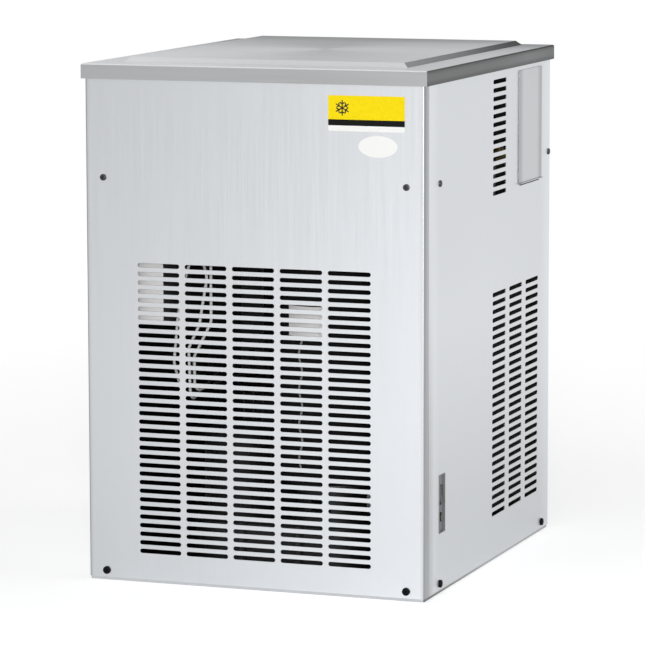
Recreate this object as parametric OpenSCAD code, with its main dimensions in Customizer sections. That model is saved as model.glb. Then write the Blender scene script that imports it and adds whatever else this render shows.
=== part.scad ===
// Flake ice machine: a slotted stainless cabinet around an auger freezer.
// Millimetres, +Z up, origin on the floor at the middle of the cabinet, front towards -Y.

/* [Cabinet] */
// Width across the side panels
cabinet_w = 472; // [460:1:520]
// Depth from the front face to the back face
cabinet_d = 557; // [548:1:620]
// Height of the lid's rim
rim_z = 690; // [684:1:760]
// Thickness of the cabinet sheet
sheet = 1.2; // [0.8:0.1:1.6]
// Outer radius of the folded corners
bend_r = 3; // [2.4:0.1:5]
// Depth of the front panel's folded returns
front_return = 16; // [12:1:22]
// Width of the side panels' folds at the back
rear_return = 14; // [10:1:18]
// Gap between neighbouring panels
seam = 0.6; // [0.3:0.1:1]
// Height of the panels' lower edge
panel_lift = 4; // [2:0.5:6]

/* [Lid] */
// How far the lid stands out over the panels
lid_overhang = 4; // [3.5:0.5:8]
// Height of the lid's rim
lid_rim = 20; // [14:1:24]
// Radius of the lid's upper edges
lid_round = 2.4; // [1.8:0.1:4]
// Rise of the raised field
field_rise = 6; // [3:0.5:10]
// Width of the slope round the raised field
field_slope = 7; // [4:0.5:12]
// Border beside the raised field
field_side = 42; // [30:1:60]
// Border in front of the raised field
field_front = 47; // [30:1:60]
// Border behind the raised field
field_rear = 18; // [14:1:40]

/* [Grilles] */
// Length of a slot
slot_w = 59; // [40:1:64]
// Height of a slot
slot_h = 6; // [4:0.5:8]
// Distance from slot to slot up the panel
slot_pitch = 11.6; // [10:0.1:12]
// Columns in the front grille
front_cols = 5; // [3:1:5]
// Rows in the front grille
front_rows = 34; // [20:1:36]
// Distance from column to column in the front grille
front_col_pitch = 66.6; // [66:0.1:72]
// Height of the front grille's lowest row
front_row_z = 42.5; // [40:0.5:60]
// Columns in a side grille
side_cols = 3; // [1:1:3]
// Rows in a side grille
side_rows = 27; // [16:1:28]
// Distance from column to column in a side grille
side_col_pitch = 76; // [70:0.5:80]
// Height of the side grille's lowest row
side_row_z = 64.5; // [50:0.5:80]
// Rows in the upper vent
vent_rows = 14; // [8:1:14]
// Height of the upper vent's lowest row
vent_row_z = 504.5; // [500:0.5:515]
// Distance from the front face to the first side column
side_col_from_front = 319; // [310:1:325]

/* [Hatch and switches] */
// Width of the hatch plate
hatch_w = 108; // [90:1:114]
// Height of the hatch plate
hatch_h = 157; // [120:1:160]
// Height of the hatch plate's lower edge
hatch_z = 506.5; // [500:0.5:510]
// Distance from the back face to the middle of the hatch
hatch_from_back = 100; // [90:1:106]
// How far the hatch plate laps over its opening
hatch_lap = 8; // [6:0.5:12]
// How far the opening shows below the hatch plate, for a grip
hatch_grip = 2.5; // [1:0.5:4]
// Width of the switch window
window_w = 25; // [24:0.5:30]
// Height of the switch window
window_h = 78; // [72:1:90]
// Height of the window's lower edge
window_z = 79.5; // [70:0.5:90]
// Distance from the front face to the middle of the window
window_from_front = 72; // [66:0.5:80]
// Radius of the rocker
rocker_r = 13; // [10:0.5:14]
// Radius of the reset button
button_r = 6; // [4:0.5:8]

/* [Frame] */
// Thickness of the frame sheet
frame_t = 2; // [1.5:0.1:2.5]
// Height of the base pan's flanges
base_flange = 28; // [24:1:36]
// Leg of the corner posts
post_leg = 32; // [28:1:36]
// Height of the upper row of panel screws
upper_screw_z = 540; // [530:1:550]
// Height of the lower row of panel screws
lower_screw_z = 13; // [12:0.5:18]
// Front screws' distance from the side faces
front_screw_in = 25; // [20:0.5:28]
// Radius of the panel screws
screw_r = 2; // [1.5:0.1:2.5]
// Distance across between the bin bolts
bin_bolts_x = 400; // [390:1:410]
// Distance between the bin bolts from front to back
bin_bolts_y = 500; // [494:1:508]
// Radius of the bin bolt holes
bin_bolt_r = 4.5; // [3:0.1:5]

/* [Freezer] */
// Freezer axis across the cabinet
freezer_x = 70; // [66:1:76]
// Distance from the front face to the freezer axis
freezer_from_front = 108.5; // [100:0.5:116]
// Height of the freezing cylinder's lower end
freezer_z = 130; // [126:1:140]
// Length of the freezing cylinder
freezer_h = 310; // [290:1:320]
// Inner radius of the freezing cylinder
bore_r = 34; // [32:0.5:36]
// Wall of the freezing cylinder
bore_wall = 4; // [3:0.5:5]
// Outer radius of the insulation
insulation_r = 72; // [62:1:76]
// Radius of the auger's core
core_r = 20; // [17:0.5:22]
// Turns of the auger's flight
flight_turns = 5; // [3:0.5:7]
// Thickness of the auger's flight
flight_t = 5; // [4:0.5:8]
// Gap between flight and cylinder
flight_gap = 0.5; // [0.4:0.05:1]
// Radius of the auger's journals
journal_r = 12; // [10:0.5:14]
// Distance from the freezer axis to the drive motor's axis
gear_span = 132; // [128:1:136]
// Radius of the drive motor
motor_r = 48; // [40:1:50]
// Height of the drive motor
motor_h = 118; // [90:1:130]

/* [Ice way] */
// Inner width of the chute
chute_w = 100; // [90:1:102]
// Inner depth of the chute
chute_d = 80; // [70:1:84]
// Wall of the chute
chute_wall = 3; // [2:0.5:4]
// Distance from the freezer axis to the middle of the chute
chute_from_freezer = 125; // [122:1:130]
// Width of the passage from freezer to chute
spout_w = 46; // [36:1:50]
// Height of the passage from freezer to chute
spout_h = 30; // [24:1:32]

/* [Compressor] */
// Compressor axis across the cabinet, from the middle to the left
compressor_left = 112; // [106:1:118]
// Distance from the back face to the compressor axis
compressor_from_back = 168; // [150:1:172]
// Radius of the compressor's shell
shell_r = 88; // [80:1:92]
// Height of the compressor's shell
shell_h = 206; // [180:1:215]
// Radius of the shell's round edges
shell_round = 38; // [25:1:42]

/* [Condenser] */
// Thickness of the condenser
coil_t = 40; // [30:1:44]
// Height of the condenser's fins
coil_h = 312; // [290:1:316]
// Length of the condenser over its fins
coil_l = 196; // [180:1:198]
// Number of fins
fins = 25; // [10:1:33]
// Radius of the condenser's tubes
coil_tube_r = 5; // [4:0.25:6]
// Number of tubes, an even number
coil_tubes = 8; // [4:2:8]
// Radius of the fan
fan_r = 92; // [80:1:94]
// Number of fan blades
fan_blades = 5; // [3:1:6]

/* [Water] */
// Width of the reservoir
tank_w = 100; // [90:1:104]
// Depth of the reservoir
tank_d = 98; // [90:1:100]
// Height of the reservoir
tank_h = 84; // [76:1:88]
// Wall of the reservoir
tank_wall = 3; // [2:0.5:4]
// Radius of the water inlet's thread
inlet_r = 13.2; // [10:0.1:14]
// Radius of the drain spigot
drain_r = 10; // [8:0.5:11]

/* [Controls] */
// Width of the control box
box_w = 100; // [86:1:104]
// Depth of the control box
box_d = 92; // [80:1:110]
// Height of the control box
box_h = 172; // [150:1:180]
// Height of the control box's lower side
box_z = 347; // [340:1:352]

/* [Hidden] */
$fn = 48;

// Clearances: through holes, running fits, snug fits and cuts that pass a face
hole_gap = 0.3;
run_gap = 0.05;
snug = 0.2;
past = 1;

// Faces of the cabinet
side_x = cabinet_w / 2;
front_y = -cabinet_d / 2;
back_y = cabinet_d / 2;
inner_x = side_x - sheet;
inner_front = front_y + sheet;
inner_back = back_y - sheet;
lid_under = rim_z - sheet;
panel_top = lid_under - seam;
panel_h = panel_top - panel_lift;
side_front = front_y + front_return + seam;
rear_half = side_x - rear_return - seam;

// Panel screws
screw_head_r = 4.4;
screw_head_h = 2;
screw_l = 9;
front_screw_x = side_x - front_screw_in;
base_head_r = 5.2;
base_head_h = 3;
side_screw_front = front_y + 62;
side_screw_back = back_y - 9;
base_screw_front = front_y + 63.5;
base_screw_back = back_y - 34.5;
rear_screw_x = rear_half - 8;
rear_screw_low = 120;
ear_reach = 73;
ear_h = 40;

// Grilles
side_col_y = front_y + side_col_from_front;
rear_vent_cols = 4;
rear_vent_rows = 8;
rear_vent_x = -40;

// Hatch and switch window
hatch_y = back_y - hatch_from_back;
hatch_lip = 2.2;
hook_w = 40;
hook_drop = 4;
hook_rise = 6;
window_y = front_y + window_from_front;
bezel_depth = 30;
bezel_rim = 1.4;
bezel_recess = 3;
bezel_lap = 4;
bezel_face = side_x + 0.6;
switch_face = bezel_face - bezel_recess;
rocker_w = 17.6;
rocker_x = switch_face - 3;
rocker_z = window_z + window_h - 28;
rocker_rise = 4;
rocker_tilt = 8;
rocker_back = 6;
rocker_pin_r = 2;
rocker_pin_l = 1.6;
button_z = window_z + 21;
button_l = 19;
button_out = 3;
button_travel = 3;

// Frame rails
rail_h = 36;
rail_depth = 24;

// Studs that carry the compressor and the gearbox
stud_r = 4;
nut_r = 7.5;
nut_h = 6.5;
stud_proud = 3;

// Freezer levels, from the floor up
freezer_y = front_y + freezer_from_front;
freezer_top = freezer_z + freezer_h;
flange_t = 8;
flange_r = 54;
gear_r = 60;
gear_foot = 10;
gear_foot_out = 14;
cover_t = 14;
pedestal_h = 46;
gear_top = freezer_z - pedestal_h;
cover_z = gear_top - cover_t;
motor_x = freezer_x - gear_span;
gear_stud_x = 40;
gear_stud_y = gear_r + gear_foot_out - 9;
pedestal_r = 46;
pedestal_bore_r = bore_r - 2;
pedestal_foot_t = 6;
cyl_r = bore_r + bore_wall;
jacket_r = cyl_r + 8;
jacket_z = freezer_z + 48;
jacket_top = freezer_top - 26;
seal_h = 14;
seal_r = journal_r + 1;
shaft_r = 12;
shaft_z = cover_z - 10;
socket_r = 20;
socket_z = gear_top + 4;
socket_h = 30;
socket_depth = 18;
auger_z = freezer_z + seal_h + 4;
auger_top = freezer_top - 10;
flight_start = 2;
flight_end = 5;
flight_steps = 32;
flight_sunk = 1;
head_h = 60;
head_wall = 14;
head_r = bore_r + head_wall;
head_roof = 16;
head_top = freezer_top + head_h;
bearing_r = 20;
journal_end = 5;
teeth = 4;
tooth_w = 7;
tooth_h = 11;
tooth_gap = 3;

// Pipe stubs on the freezer
stub_turn = 35;
stub_out = insulation_r + 7;
liquid_r = 3.2;
suction_r = 6;
discharge_r = 4;
liquid_stub_z = jacket_z + 16;
suction_stub_z = jacket_top - 15;
water_stub_r = 8;
water_stub_bore = 6;
water_stub_z = freezer_z + 28;

// Ice way
chute_x = freezer_x;
chute_y = freezer_y + chute_from_freezer;
chute_round = 8;
chute_z = 0.5;
chute_foot = 6;
chute_foot_t = 3;
spout_wall = 3;
spout_z = freezer_top + 12;
chute_top = spout_z + spout_h + 20;
sensor_z = 330;
sensor_r = 6;
sensor_l = 26;
sensor_nut_r = 10;
sensor_nut_h = 5;

// Compressor
comp_x = -compressor_left;
comp_y = back_y - compressor_from_back;
comp_plate_t = 4;
foot_h = 14;
comp_plate_z = frame_t + foot_h;
comp_plate_w = 204;
comp_plate_d = 160;
comp_stud_x = 84;
comp_stud_y = 62;
shell_z = comp_plate_z + comp_plate_t;
shell_top = shell_z + shell_h;
seam_band = 3;
seam_h = 12;
foot_r = 14;
foot_neck_r = 9;
foot_cap = 6;
stub_ring = 40;
comp_stub_z = shell_top + 22;
process_r = 3;
terminal_w = 58;
terminal_h = 54;
terminal_out = 24;
terminal_z = shell_z + 88;

// Condenser and fan, from the right panel inwards
coil_gap = 10;
coil_x1 = inner_x - coil_gap;
coil_x0 = coil_x1 - coil_t;
coil_x = (coil_x0 + coil_x1) / 2;
coil_y = side_col_y + side_col_pitch;
coil_y0 = coil_y - coil_l / 2;
coil_y1 = coil_y + coil_l / 2;
coil_z = frame_t + 56;
fin_t = 1;
end_plate_t = 1.5;
end_foot = 16;
tube_pitch = coil_h / coil_tubes;
tube_past = 4;
coil_stub = 8;
shroud_depth = 30;
shroud_t = 1.5;
shroud_x = coil_x0 - shroud_depth;
fan_y = coil_y;
fan_z = coil_z + coil_h / 2;
fan_gap = 4;
fan_lip = 12;
fan_w = 26;
fan_x = shroud_x - 4;
hub_r = 22;
blade_t = 1.8;
blade_curve = 70;
blade_span = 62;
blade_pitch = 38;
fan_shaft_r = 4;
shaft_in = 22;
fan_motor_r = 38;
fan_motor_l = 52;
fan_motor_x = fan_x - fan_w / 2 - 4;
bracket_t = 3;
bracket_w = 26;
bracket_half = fan_r + 16;

// Reservoir, above the condenser and below the hatch
tank_x1 = inner_x - 12;
tank_x0 = tank_x1 - tank_w;
tank_y1 = back_y - 50;
tank_y0 = tank_y1 - tank_d;
tank_z = coil_z + coil_h + 20;
shelf_z = tank_z - frame_t;
shelf_lip = 5;
shelf_drop = 30;
feed_x = tank_x0 + 14;
feed_y = tank_y0 + 18;
feed_r = 8;
feed_bend = 30;
over_y = tank_y1 - 16;
over_r = 8;
over_h = tank_h - 16;
spigot_l = 14;
cover_lip = 5;

// Float valve and float
valve_x = tank_x0 + 34;
valve_z = tank_z + tank_h - 14;
valve_r = 7;
valve_back = 26;
valve_in = 10;
valve_barb_r = 5;
valve_barb_h = 24;
pin_r = 1.5;
pin_y = tank_y1 - tank_wall - valve_in - 4;
fork_w = 14;
fork_t = 3;
arm_w = 6;
arm_t = 3;
float_droop = 14;
float_l = 38;
float_h = 22;
float_w = 40;
arm_l = 20;

// Hoses and rear fittings
hose_y = tank_y1 + valve_back - 6;
hose_r = 8;
inlet_x = valve_x;
inlet_z = valve_z + 74;
inlet_out = 20;
inlet_flange_r = 18;
inlet_flange_t = 4;
inlet_bore = 8;
drain_x = feed_x;
drain_z = 46;
drain_out = 24;
drain_bore = 7;
drain_bend = 20;
fitting_deep = 14;
drain_elbow_y = inner_back - 24;
barb_l = 16;
gland_from_side = 86;
gland_x = gland_from_side - side_x;
gland_z = 60;
gland_r = 11;
gland_out = 18;
gland_hex = gland_r + 5;
gland_nut = 6;
gland_cap = 7;
gland_bore = gland_r - 6;
gland_deep = 12;

// Control box
box_x0 = -inner_x + frame_t;
box_x1 = box_x0 + box_w;
box_y0 = inner_front + 15;
box_y1 = box_y0 + box_d;
box_t = 1.2;
cover_tongue = 14;
board_t = 1.6;
board_gap = 10;
board_post_r = 4;
relay_w = 20;
relay_h = 24;
relay_d = 22;

// Filter drier
drier_x = coil_x0 - 8;
drier_y = coil_y0 - 82;
drier_r = 11;
drier_z = 110;
drier_l = 120;

// Ends of the pipes
coil_pipe_y = coil_y0 - coil_stub - 8;
coil_in_z = coil_z + coil_h - tube_pitch / 2;
coil_out_z = coil_z + tube_pitch / 2;
stub_end = [freezer_x + stub_out * cos(stub_turn), freezer_y + stub_out * sin(stub_turn), 0];
stub_dir = [cos(stub_turn), sin(stub_turn), 0];
lift = [0, 0, 1];
bend_steps = 4;

// Routes of pipes, hoses and wires; their inner points are chosen by hand
discharge_route = [
    [comp_x + stub_ring, comp_y, comp_stub_z], [comp_x + stub_ring, comp_y, 305],
    [comp_x + stub_ring, 42, 305], [142, 42, 305], [142, -26, 305], [coil_x, -26, 305],
    [coil_x, -26, coil_in_z], [coil_x, coil_pipe_y, coil_in_z]
];
liquid_route = [
    [coil_x, coil_pipe_y, coil_out_z], [coil_x, drier_y, coil_out_z],
    [drier_x, drier_y, coil_out_z], [drier_x, drier_y, drier_z]
];
liquid_feed_route = [
    [drier_x, drier_y, drier_z + drier_l], [drier_x, drier_y, 262], [152, -112, 262],
    stub_end + 20 * stub_dir + liquid_stub_z * lift, stub_end + liquid_stub_z * lift
];
suction_route = [
    stub_end + suction_stub_z * lift, stub_end + 20 * stub_dir + suction_stub_z * lift,
    [152, -60, 424], [152, 60, 440], [comp_x, 64, 440],
    [comp_x, comp_y - stub_ring, 400], [comp_x, comp_y - stub_ring, comp_stub_z]
];
feed_route = [
    [feed_x, feed_y, shelf_z - spigot_l], [feed_x, feed_y, 352], [feed_x, 6, 350],
    [160, -60, 346], [180, -150, 318], [180, freezer_y, water_stub_z],
    [freezer_x + stub_out, freezer_y, water_stub_z]
];
drain_high = 348;
drain_low = 320;
drain_route = [
    [drain_x, over_y, shelf_z - spigot_l], [drain_x, over_y, drain_high],
    [drain_x, drain_elbow_y, drain_low], [drain_x, drain_elbow_y, drain_z + barb_l]
];
wire_r = 2;
wire_bend = 14;
wire_exit_y = box_y0 + 30;
terminal_top = [comp_x, comp_y - shell_r - terminal_out / 2, terminal_z + terminal_h];
wire_routes = [
    [[box_x1, wire_exit_y, 470], [-86, wire_exit_y, 470], [-76, -236, 425], [-76, -236, 348],
        [-102, -232, 300], [-104, -226, 252], [-80, -120, 262], terminal_top + [14, 0, 60],
        terminal_top + [14, 0, 0]],
    [[box_x1, wire_exit_y + 12, 452], [-100, wire_exit_y + 12, 452], [-80, -240, 408], [-91, -240, 345],
        [-106, -242, 312], [-105, -238, 240], [-110, -110, 268], terminal_top + [0, 0, 64],
        terminal_top],
    [[box_x1, wire_exit_y + 24, 434], [-114, wire_exit_y + 24, 434], [-121, -228, 385], [-126, -232, 345],
        [-131, -232, 290], [-130, -215, 258], [-130, -100, 270], terminal_top + [-14, 0, 60],
        terminal_top + [-14, 0, 0]]
];
sensor_route = [
    [box_x1, wire_exit_y + 36, 500], [-60, wire_exit_y + 36, 500], [-10, -180, 512],
    [chute_x - chute_w / 2 - chute_wall - sensor_l - 20, chute_y - 30, 500],
    [chute_x - chute_w / 2 - chute_wall - sensor_l - 20, chute_y, sensor_z],
    [chute_x - chute_w / 2 - chute_wall - sensor_l, chute_y, sensor_z]
];

// Shapes used by several pieces
module slot2d(w, h) {
    square([w - h, h], center = true);
    for (s = [-1, 1])
        translate([s * (w - h) / 2, 0])
            circle(d = h);
}

module slots2d(cols, col_pitch, rows, row_pitch) {
    for (c = [0 : cols - 1], r = [0 : rows - 1])
        translate([c * col_pitch, r * row_pitch])
            slot2d(slot_w, slot_h);
}

module round_rect2d(w, d, r) {
    square([w, d - 2 * r], center = true);
    square([w - 2 * r, d], center = true);
    for (x = [-1, 1], y = [-1, 1])
        translate([x * (w / 2 - r), y * (d / 2 - r)])
            circle(r);
}

module arch2d(w, h, r) {
    translate([-w / 2, 0])
        square([w, h - r]);
    translate([r - w / 2, 0])
        square([w - 2 * r, h]);
    for (s = [-1, 1])
        translate([s * (w / 2 - r), h - r])
            circle(r);
}

// Sheet folded round a corner at the origin of +X and +Y, its outside towards -X and -Y
module fold2d(x_len, y_len, t) {
    translate([bend_r, 0])
        square([x_len - bend_r, t]);
    translate([0, bend_r])
        square([t, y_len - bend_r]);
    translate([bend_r, bend_r])
        intersection() {
            difference() {
                circle(bend_r);
                circle(bend_r - t);
            }
            translate([-bend_r, -bend_r])
                square(bend_r);
        }
}

// Block with sloped sides above the origin and a straight root below it
module field(w, d, h, slope) {
    intersection() {
        rotate([90, 0, 0])
            linear_extrude(d, center = true)
                field2d(w, h, slope);
        rotate([90, 0, 90])
            linear_extrude(w, center = true)
                field2d(d, h, slope);
    }
}

module field2d(w, h, slope) {
    polygon([[-w / 2, -past], [w / 2, -past], [w / 2, 0], [w / 2 - slope, h], [slope - w / 2, h],
        [-w / 2, 0]]);
}

// Turns +Z into the outward direction of the front, back, right or left
module facing(side) {
    turn = side == "front" ? [90, 0, 0] : side == "back" ? [-90, 0, 0]
        : side == "right" ? [0, 90, 0] : [0, -90, 0];
    rotate(turn)
        children();
}

module mirror_if(swap) {
    mirror([swap ? 1 : 0, 0, 0])
        children();
}

// Pan-head screw with its head's seat at the origin, head towards +Z
module screw(head_r, head_h) {
    cylinder(r1 = head_r, r2 = head_r * 0.8, h = head_h);
    translate([0, 0, -screw_l])
        cylinder(r = screw_r, h = screw_l);
}

module hex(r, h) {
    cylinder(r = r, h = h, $fn = 6);
}

// Round tube swept along a list of points
function unit(v) = v / norm(v);
function bend(a, b, c, r) =
    let (u = unit(a - b), v = unit(c - b), half = acos(u * v) / 2, turn = 180 - 2 * half,
        hub = b + unit(u + v) * r / sin(half), p = b + u * r / tan(half) - hub,
        q = b + v * r / tan(half) - hub)
    [for (k = [0 : bend_steps]) let (t = k / bend_steps)
        hub + (p * sin((1 - t) * turn) + q * sin(t * turn)) / sin(turn)];
function route(p, r) = let (last = len(p) - 1)
    [p[0], for (i = [1 : last - 1]) each bend(p[i - 1], p[i], p[i + 1], r), p[last]];
function tangents(p) = let (last = len(p) - 1)
    [for (i = [0 : last]) unit(p[min(i + 1, last)] - p[max(i - 1, 0)])];
function normals(t, i, n) = i == len(t) ? []
    : let (m = unit(n - (n * t[i]) * t[i])) concat([m], normals(t, i + 1, m));

module tube(points, r, sides) {
    t = tangents(points);
    n = normals(t, 0, cross(t[0], [0.3, 0.5, 0.8]));
    last = len(points) - 1;
    ring = [for (i = [0 : last], k = [0 : sides - 1]) let (a = 360 * k / sides)
        points[i] + r * (cos(a) * n[i] + sin(a) * cross(t[i], n[i]))];
    wall = [for (i = [0 : last - 1], k = [0 : sides - 1]) let (a = i * sides, j = (k + 1) % sides)
        each [[a + k, a + sides + k, a + sides + j], [a + k, a + sides + j, a + j]]];
    ends = [[for (k = [0 : sides - 1]) k], [for (k = [0 : sides - 1]) (last + 1) * sides - 1 - k]];
    polyhedron(ring, concat(ends, wall));
}

module pipe(points, r, bend, sides = 10) {
    tube(route(points, bend), r, sides);
}

// Holes for the panel screws, seen from each side
module front_screw_places(z) {
    for (s = [-1, 1])
        translate([s * front_screw_x, front_y, z])
            facing("front")
                children();
}

module side_screw_places(ys, z) {
    for (s = ["left", "right"], y = ys)
        translate([s == "right" ? side_x : -side_x, y, z])
            facing(s)
                children();
}

module rear_screw_places() {
    for (s = [-1, 1], z = [rear_screw_low, upper_screw_z])
        translate([s * rear_screw_x, back_y, z])
            facing("back")
                children();
}

module screw_hole() {
    translate([0, 0, -screw_l - past])
        cylinder(r = screw_r + hole_gap, h = screw_l + 2 * past);
}

module screw_holes() {
    front_screw_places(upper_screw_z)
        screw_hole();
    front_screw_places(lower_screw_z)
        screw_hole();
    side_screw_places([side_screw_front, side_screw_back], upper_screw_z)
        screw_hole();
    side_screw_places([base_screw_front, base_screw_back], lower_screw_z)
        screw_hole();
    rear_screw_places()
        screw_hole();
}

module gear_stud_places() {
    for (x = [-1, 1], y = [-1, 1])
        translate([freezer_x - gear_span / 2 + x * gear_stud_x, freezer_y + y * gear_stud_y, 0])
            children();
}

module comp_stud_places() {
    for (x = [-1, 1], y = [-1, 1])
        translate([comp_x + x * comp_stud_x, comp_y + y * comp_stud_y, 0])
            children();
}

module on_freezer(z) {
    translate([freezer_x, freezer_y, z])
        children();
}

// Frame
module base_pan() {
    color("silver")
        difference() {
            linear_extrude(base_flange)
                round_rect2d(2 * inner_x, 2 * inner_back, bend_r);
            translate([0, 0, frame_t])
                linear_extrude(base_flange)
                    round_rect2d(2 * (inner_x - frame_t), 2 * (inner_back - frame_t), bend_r - frame_t);
            translate([chute_x, chute_y, -past])
                linear_extrude(frame_t + 2 * past)
                    round_rect2d(chute_w + 2 * (chute_wall + hole_gap),
                        chute_d + 2 * (chute_wall + hole_gap), chute_round + chute_wall);
            for (x = [-1, 1], y = [-1, 1])
                translate([x * bin_bolts_x / 2, y * bin_bolts_y / 2, -past])
                    cylinder(r = bin_bolt_r, h = frame_t + 2 * past);
            screw_holes();
        }
}

module post(back) {
    color("gainsboro")
        difference() {
            union() {
                translate([inner_x, back ? inner_back : inner_front, base_flange])
                    linear_extrude(lid_under - base_flange)
                        rotate(back ? 180 : 90)
                            fold2d(post_leg, post_leg, frame_t);
                if (!back)
                    translate([inner_x - frame_t, inner_front + bend_r, upper_screw_z - ear_h / 2])
                        cube([frame_t, ear_reach, ear_h]);
            }
            screw_holes();
        }
}

module front_left_post() {
    mirror_if(true)
        post(false);
}

module front_right_post() {
    post(false);
}

module rear_left_post() {
    mirror_if(true)
        post(true);
}

module rear_right_post() {
    post(true);
}

module top_rails() {
    half = inner_x - post_leg;
    color("gainsboro")
        for (turn = [0, 180])
            rotate(turn) {
                translate([-half, inner_front, lid_under - rail_h])
                    cube([2 * half, frame_t, rail_h]);
                translate([-half, inner_front, lid_under - frame_t])
                    cube([2 * half, rail_depth, frame_t]);
            }
}

// Cabinet
module front_panel() {
    color("lightgray")
        difference() {
            translate([0, 0, panel_lift])
                linear_extrude(panel_h)
                    for (swap = [false, true])
                        mirror_if(swap)
                            translate([-side_x, front_y])
                                fold2d(side_x, front_return, sheet);
            translate([-(front_cols - 1) / 2 * front_col_pitch, inner_front + past, front_row_z])
                facing("front")
                    linear_extrude(sheet + 2 * past)
                        slots2d(front_cols, front_col_pitch, front_rows, slot_pitch);
            screw_holes();
        }
}

module side_sheet() {
    translate([side_x, back_y, panel_lift])
        linear_extrude(panel_h)
            rotate(180)
                fold2d(rear_return, back_y - side_front, sheet);
}

module side_slots(cols, rows, z) {
    translate([inner_x - past, side_col_y, z])
        rotate([90, 0, 90])
            linear_extrude(sheet + 2 * past)
                slots2d(cols, side_col_pitch, rows, slot_pitch);
}

module left_panel() {
    color("lightgray")
        mirror_if(true)
            difference() {
                side_sheet();
                screw_holes();
            }
}

module right_panel() {
    color("lightgray")
        difference() {
            side_sheet();
            side_slots(side_cols, side_rows, side_row_z);
            side_slots(1, vent_rows, vent_row_z);
            translate([inner_x - past, hatch_y - hatch_w / 2 + hatch_lap, hatch_z - hatch_grip])
                cube([sheet + 2 * past, hatch_w - 2 * hatch_lap, hatch_h - hatch_lap + hatch_grip]);
            translate([inner_x - past, window_y - window_w / 2, window_z])
                cube([sheet + 2 * past, window_w, window_h]);
            screw_holes();
        }
}

module rear_panel() {
    color("lightgray")
        difference() {
            translate([-rear_half, inner_back, panel_lift])
                cube([2 * rear_half, sheet, panel_h]);
            translate([rear_vent_x - (rear_vent_cols - 1) / 2 * front_col_pitch, back_y + past,
                    vent_row_z + slot_pitch])
                facing("front")
                    linear_extrude(sheet + 2 * past)
                        slots2d(rear_vent_cols, front_col_pitch, rear_vent_rows, slot_pitch);
            for (hole = [[inlet_x, inlet_z, inlet_r], [drain_x, drain_z, drain_r],
                    [gland_x, gland_z, gland_r]])
                translate([hole[0], back_y + past, hole[1]])
                    facing("front")
                        cylinder(r = hole[2] + hole_gap, h = sheet + 2 * past);
            screw_holes();
        }
}

module lid_block(w, d, h, r) {
    intersection() {
        rotate([90, 0, 0])
            linear_extrude(d, center = true)
                arch2d(w, h, r);
        rotate([90, 0, 90])
            linear_extrude(w, center = true)
                arch2d(d, h, r);
    }
}

module lid() {
    lid_w = cabinet_w + 2 * lid_overhang;
    lid_d = cabinet_d + 2 * lid_overhang;
    field_w = lid_w - 2 * field_side;
    field_d = lid_d - field_front - field_rear;
    field_y = (field_front - field_rear) / 2;
    color("silver")
        difference() {
            union() {
                translate([0, 0, rim_z - lid_rim])
                    lid_block(lid_w, lid_d, lid_rim, lid_round);
                translate([0, field_y, rim_z])
                    field(field_w, field_d, field_rise, field_slope);
            }
            translate([sheet - lid_w / 2, sheet - lid_d / 2, rim_z - lid_rim - past])
                cube([lid_w - 2 * sheet, lid_d - 2 * sheet, lid_rim - sheet + past]);
            translate([0, field_y, rim_z - sheet])
                field(field_w - 2 * sheet, field_d - 2 * sheet, field_rise, field_slope);
        }
}

module hatch_cover() {
    hook_z = hatch_z + hatch_h - hatch_lap - hook_drop;
    color("lightgray") {
        translate([side_x, hatch_y - hatch_w / 2, hatch_z])
            cube([sheet, hatch_w, hatch_h]);
        translate([side_x, hatch_y - hatch_w / 2, hatch_z])
            cube([sheet + hatch_lip, hatch_w, sheet]);
        translate([inner_x - sheet, hatch_y - hook_w / 2, hook_z])
            cube([2 * sheet, hook_w, sheet]);
        translate([inner_x - sheet, hatch_y - hook_w / 2, hook_z])
            cube([sheet, hook_w, hook_drop + hook_rise]);
    }
}

module panel_screws() {
    color("dimgray") {
        front_screw_places(upper_screw_z)
            screw(screw_head_r, screw_head_h);
        side_screw_places([side_screw_front, side_screw_back], upper_screw_z)
            screw(screw_head_r, screw_head_h);
        rear_screw_places()
            screw(screw_head_r, screw_head_h);
    }
}

module base_screws() {
    color("black") {
        front_screw_places(lower_screw_z)
            screw(base_head_r, base_head_h);
        side_screw_places([base_screw_front, base_screw_back], lower_screw_z)
            screw(base_head_r, base_head_h);
    }
}

// Switch window in the right panel
module switch_bezel() {
    frame_w = window_w - 2 * hole_gap;
    frame_h = window_h - 2 * hole_gap;
    color("dimgray")
        difference() {
            union() {
                translate([side_x - bezel_depth, window_y - frame_w / 2, window_z + hole_gap])
                    cube([bezel_face - side_x + bezel_depth, frame_w, frame_h]);
                translate([inner_x - 2, window_y - window_w / 2 - bezel_lap, window_z - bezel_lap])
                    cube([2, window_w + 2 * bezel_lap, window_h + 2 * bezel_lap]);
            }
            translate([switch_face, window_y - frame_w / 2 + bezel_rim,
                    window_z + hole_gap + bezel_rim])
                cube([bezel_recess + past, frame_w - 2 * bezel_rim, frame_h - 2 * bezel_rim]);
            translate([rocker_x, window_y, rocker_z])
                rotate([90, 0, 0]) {
                    cylinder(r = rocker_r + hole_gap, h = rocker_w + 2 * hole_gap, center = true);
                    cylinder(r = rocker_pin_r + run_gap, center = true,
                        h = rocker_w + 2 * (rocker_pin_l + hole_gap));
                }
            translate([switch_face + button_out - button_l - button_travel - hole_gap, window_y,
                    button_z])
                rotate([0, 90, 0])
                    cylinder(r = button_r + run_gap, h = button_l + button_travel);
        }
}

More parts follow.
